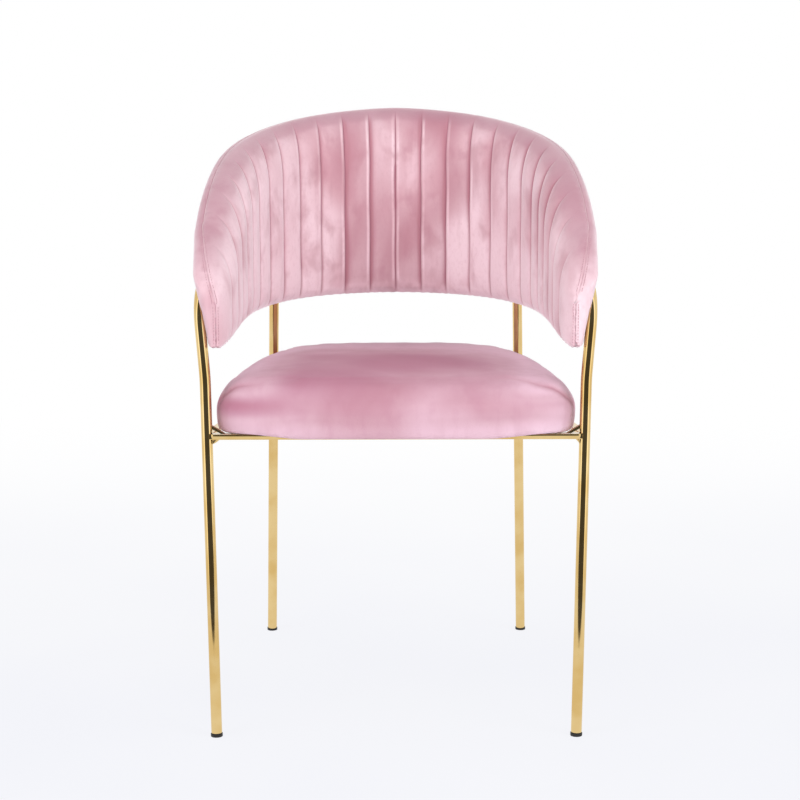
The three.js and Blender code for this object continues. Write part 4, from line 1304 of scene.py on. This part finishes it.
studio = {
    "paper": colour(243, 244, 250),
    "kept": 0.08,  # how much of the shadow the paper shows
    "fadeBehind": (-0.8, 2.5),  # metres behind the chair's middle, where the paper turns white
    "fadeAround": (3.0, 7.0),  # metres from the chair, where it turns white on every side
    "half": 14.0,  # of the floor's width
    "cells": 28,
    "clouds": (1.4, 0.25),  # how often the paper's white changes, and how much
    "ambient": 0.5,
    "paperEnd": (0.4, 0.12),  # metres ahead of the front legs where the paper ends for metal, and its fade
    "skyFrom": (0.98, 0.9),  # how steep, where metal starts to show the room in place of white
    "room": [  # brightness of what metal shows around it, by the angle from the chair's front
        (0, 0.075), (42, 0.085), (50, 1.5), (66, 1.35), (74, 0.85), (180, 0.95),
    ],
    "lamps": [  # place, size, watts
        ((-2.1, -1.7, 1.7), 1.5, 25),
        ((2.1, -1.7, 1.7), 1.5, 28),
        ((0, -0.4, 3.0), 1.8, 9),
        ((0, -2.8, 0.9), 1.4, 20),
    ],
}


# 1 for what the camera sees, also through glass or mirrored, and 1 for what is mirrored
def seenDirectly():
    path = addNode("LightPath").outputs
    both = calculate("ADD", path["Is Camera Ray"], path["Is Glossy Ray"])
    made = addNode("Math", {0: both, 1: path["Is Transmission Ray"]}, operation="ADD", use_clamp=True)
    return made.outputs[0], path["Is Glossy Ray"]


# The studio round the chair: dark behind the camera, a lamp's face on each side, pale elsewhere
def roomAround(vector):
    level = addNode("VectorMath", {0: vector, 1: (1, 1, 0)}, operation="MULTIPLY").outputs[0]
    aim = addNode("VectorMath", {0: level}, operation="NORMALIZE").outputs[0]
    ahead = addNode("SeparateXYZ", {"Vector": aim}).outputs["Y"]
    turn = calculate("ARCCOSINE", calculate("MULTIPLY", ahead, -1.0))
    ramp = addNode("ValToRGB", {"Fac": calculate("MULTIPLY", turn, 1 / math.pi)})
    stops = ramp.color_ramp.elements
    for i, (angle, glow) in enumerate(studio["room"]):
        stop = stops[i] if i < 2 else stops.new(angle / 180)
        stop.position = angle / 180
        stop.color = (glow, glow, glow * 1.03, 1)
    return ramp.outputs[0]


white = (1, 1, 1, 1)


def makeFloor():
    count = studio["cells"] + 1
    edge = np.linspace(-studio["half"], studio["half"], count)
    corners = [r * count + c for r in range(count - 1) for c in range(count - 1)]
    faces = [(k, k + 1, k + count + 1, k + count) for k in corners]
    mesh = bpy.data.meshes.new("floor")
    mesh.from_pydata([(x, y, 0) for y in edge for x in edge], [], faces)
    floor = bpy.data.objects.new("floor", mesh)
    scene.collection.objects.link(floor)
    made = startTree(bpy.data.materials.new("paperFloor"))
    made.node_tree.nodes.clear()
    place = addNode("NewGeometry").outputs["Position"]
    depth = addNode("SeparateXYZ", {"Vector": place}).outputs["Y"]
    direct, mirrored = seenDirectly()
    distance = addNode("VectorMath", {0: place}, operation="LENGTH").outputs["Value"]
    around = spread(distance, *studio["fadeAround"])
    far = calculate("MAXIMUM", spread(depth, *studio["fadeBehind"]), around)
    often, much = studio["clouds"]
    clouds = spread(noise(often, 2, place=place), 0.3, 0.7, 0, much)
    tone = mixColour(far, mixColour(clouds, studio["paper"], white), white)
    ahead, fade = studio["paperEnd"]
    beyond = spread(depth, frontLine - ahead, frontLine - ahead - fade)
    dark = calculate("MULTIPLY", beyond, mirrored)
    tone = mixColour(dark, tone, roomAround(place))
    glow = addNode("Emission", {"Color": tone, "Strength": 1.0}).outputs[0]
    whiteness = spread(far, 0, 1, 1 - studio["kept"], 1)
    share = calculate("MULTIPLY", calculate("MAXIMUM", whiteness, dark), direct)
    matte = addNode("BsdfDiffuse", {"Color": studio["paper"]}).outputs[0]
    addNode("OutputMaterial", {"Surface": addNode("MixShader", {0: share, 1: matte, 2: glow}).outputs[0]})
    mesh.materials.append(made)


def makeWorld():
    scene.world = startTree(bpy.data.worlds.new("studio"))
    scene.world.node_tree.nodes.clear()
    direct, mirrored = seenDirectly()
    place = addNode("TexCoord").outputs["Generated"]
    height = addNode("SeparateXYZ", {"Vector": place}).outputs["Z"]
    low = calculate("MULTIPLY", spread(height, *studio["skyFrom"]), mirrored)
    shown = mixColour(low, white, roomAround(place))
    soft = addNode("Background", {"Color": white, "Strength": studio["ambient"]}).outputs[0]
    clear = addNode("Background", {"Color": shown, "Strength": 1.0}).outputs[0]
    addNode("OutputWorld", {"Surface": addNode("MixShader", {0: direct, 1: soft, 2: clear}).outputs[0]})


def makeLamps():
    for i, (place, size, power) in enumerate(studio["lamps"]):
        lamp = bpy.data.lights.new("lamp%d" % i, "AREA")
        lamp.shape = "SQUARE"
        lamp.size = size
        lamp.energy = power
        holder = bpy.data.objects.new("lamp%d" % i, lamp)
        holder.location = place
        holder.rotation_euler = (Vector((0, 0, 0.5)) - Vector(place)).to_track_quat("-Z", "Y").to_euler()
        holder.visible_glossy = False
        scene.collection.objects.link(holder)


makeFloor()
makeWorld()
makeLamps()
scene.view_settings.view_transform = "Standard"
print("studio lit")
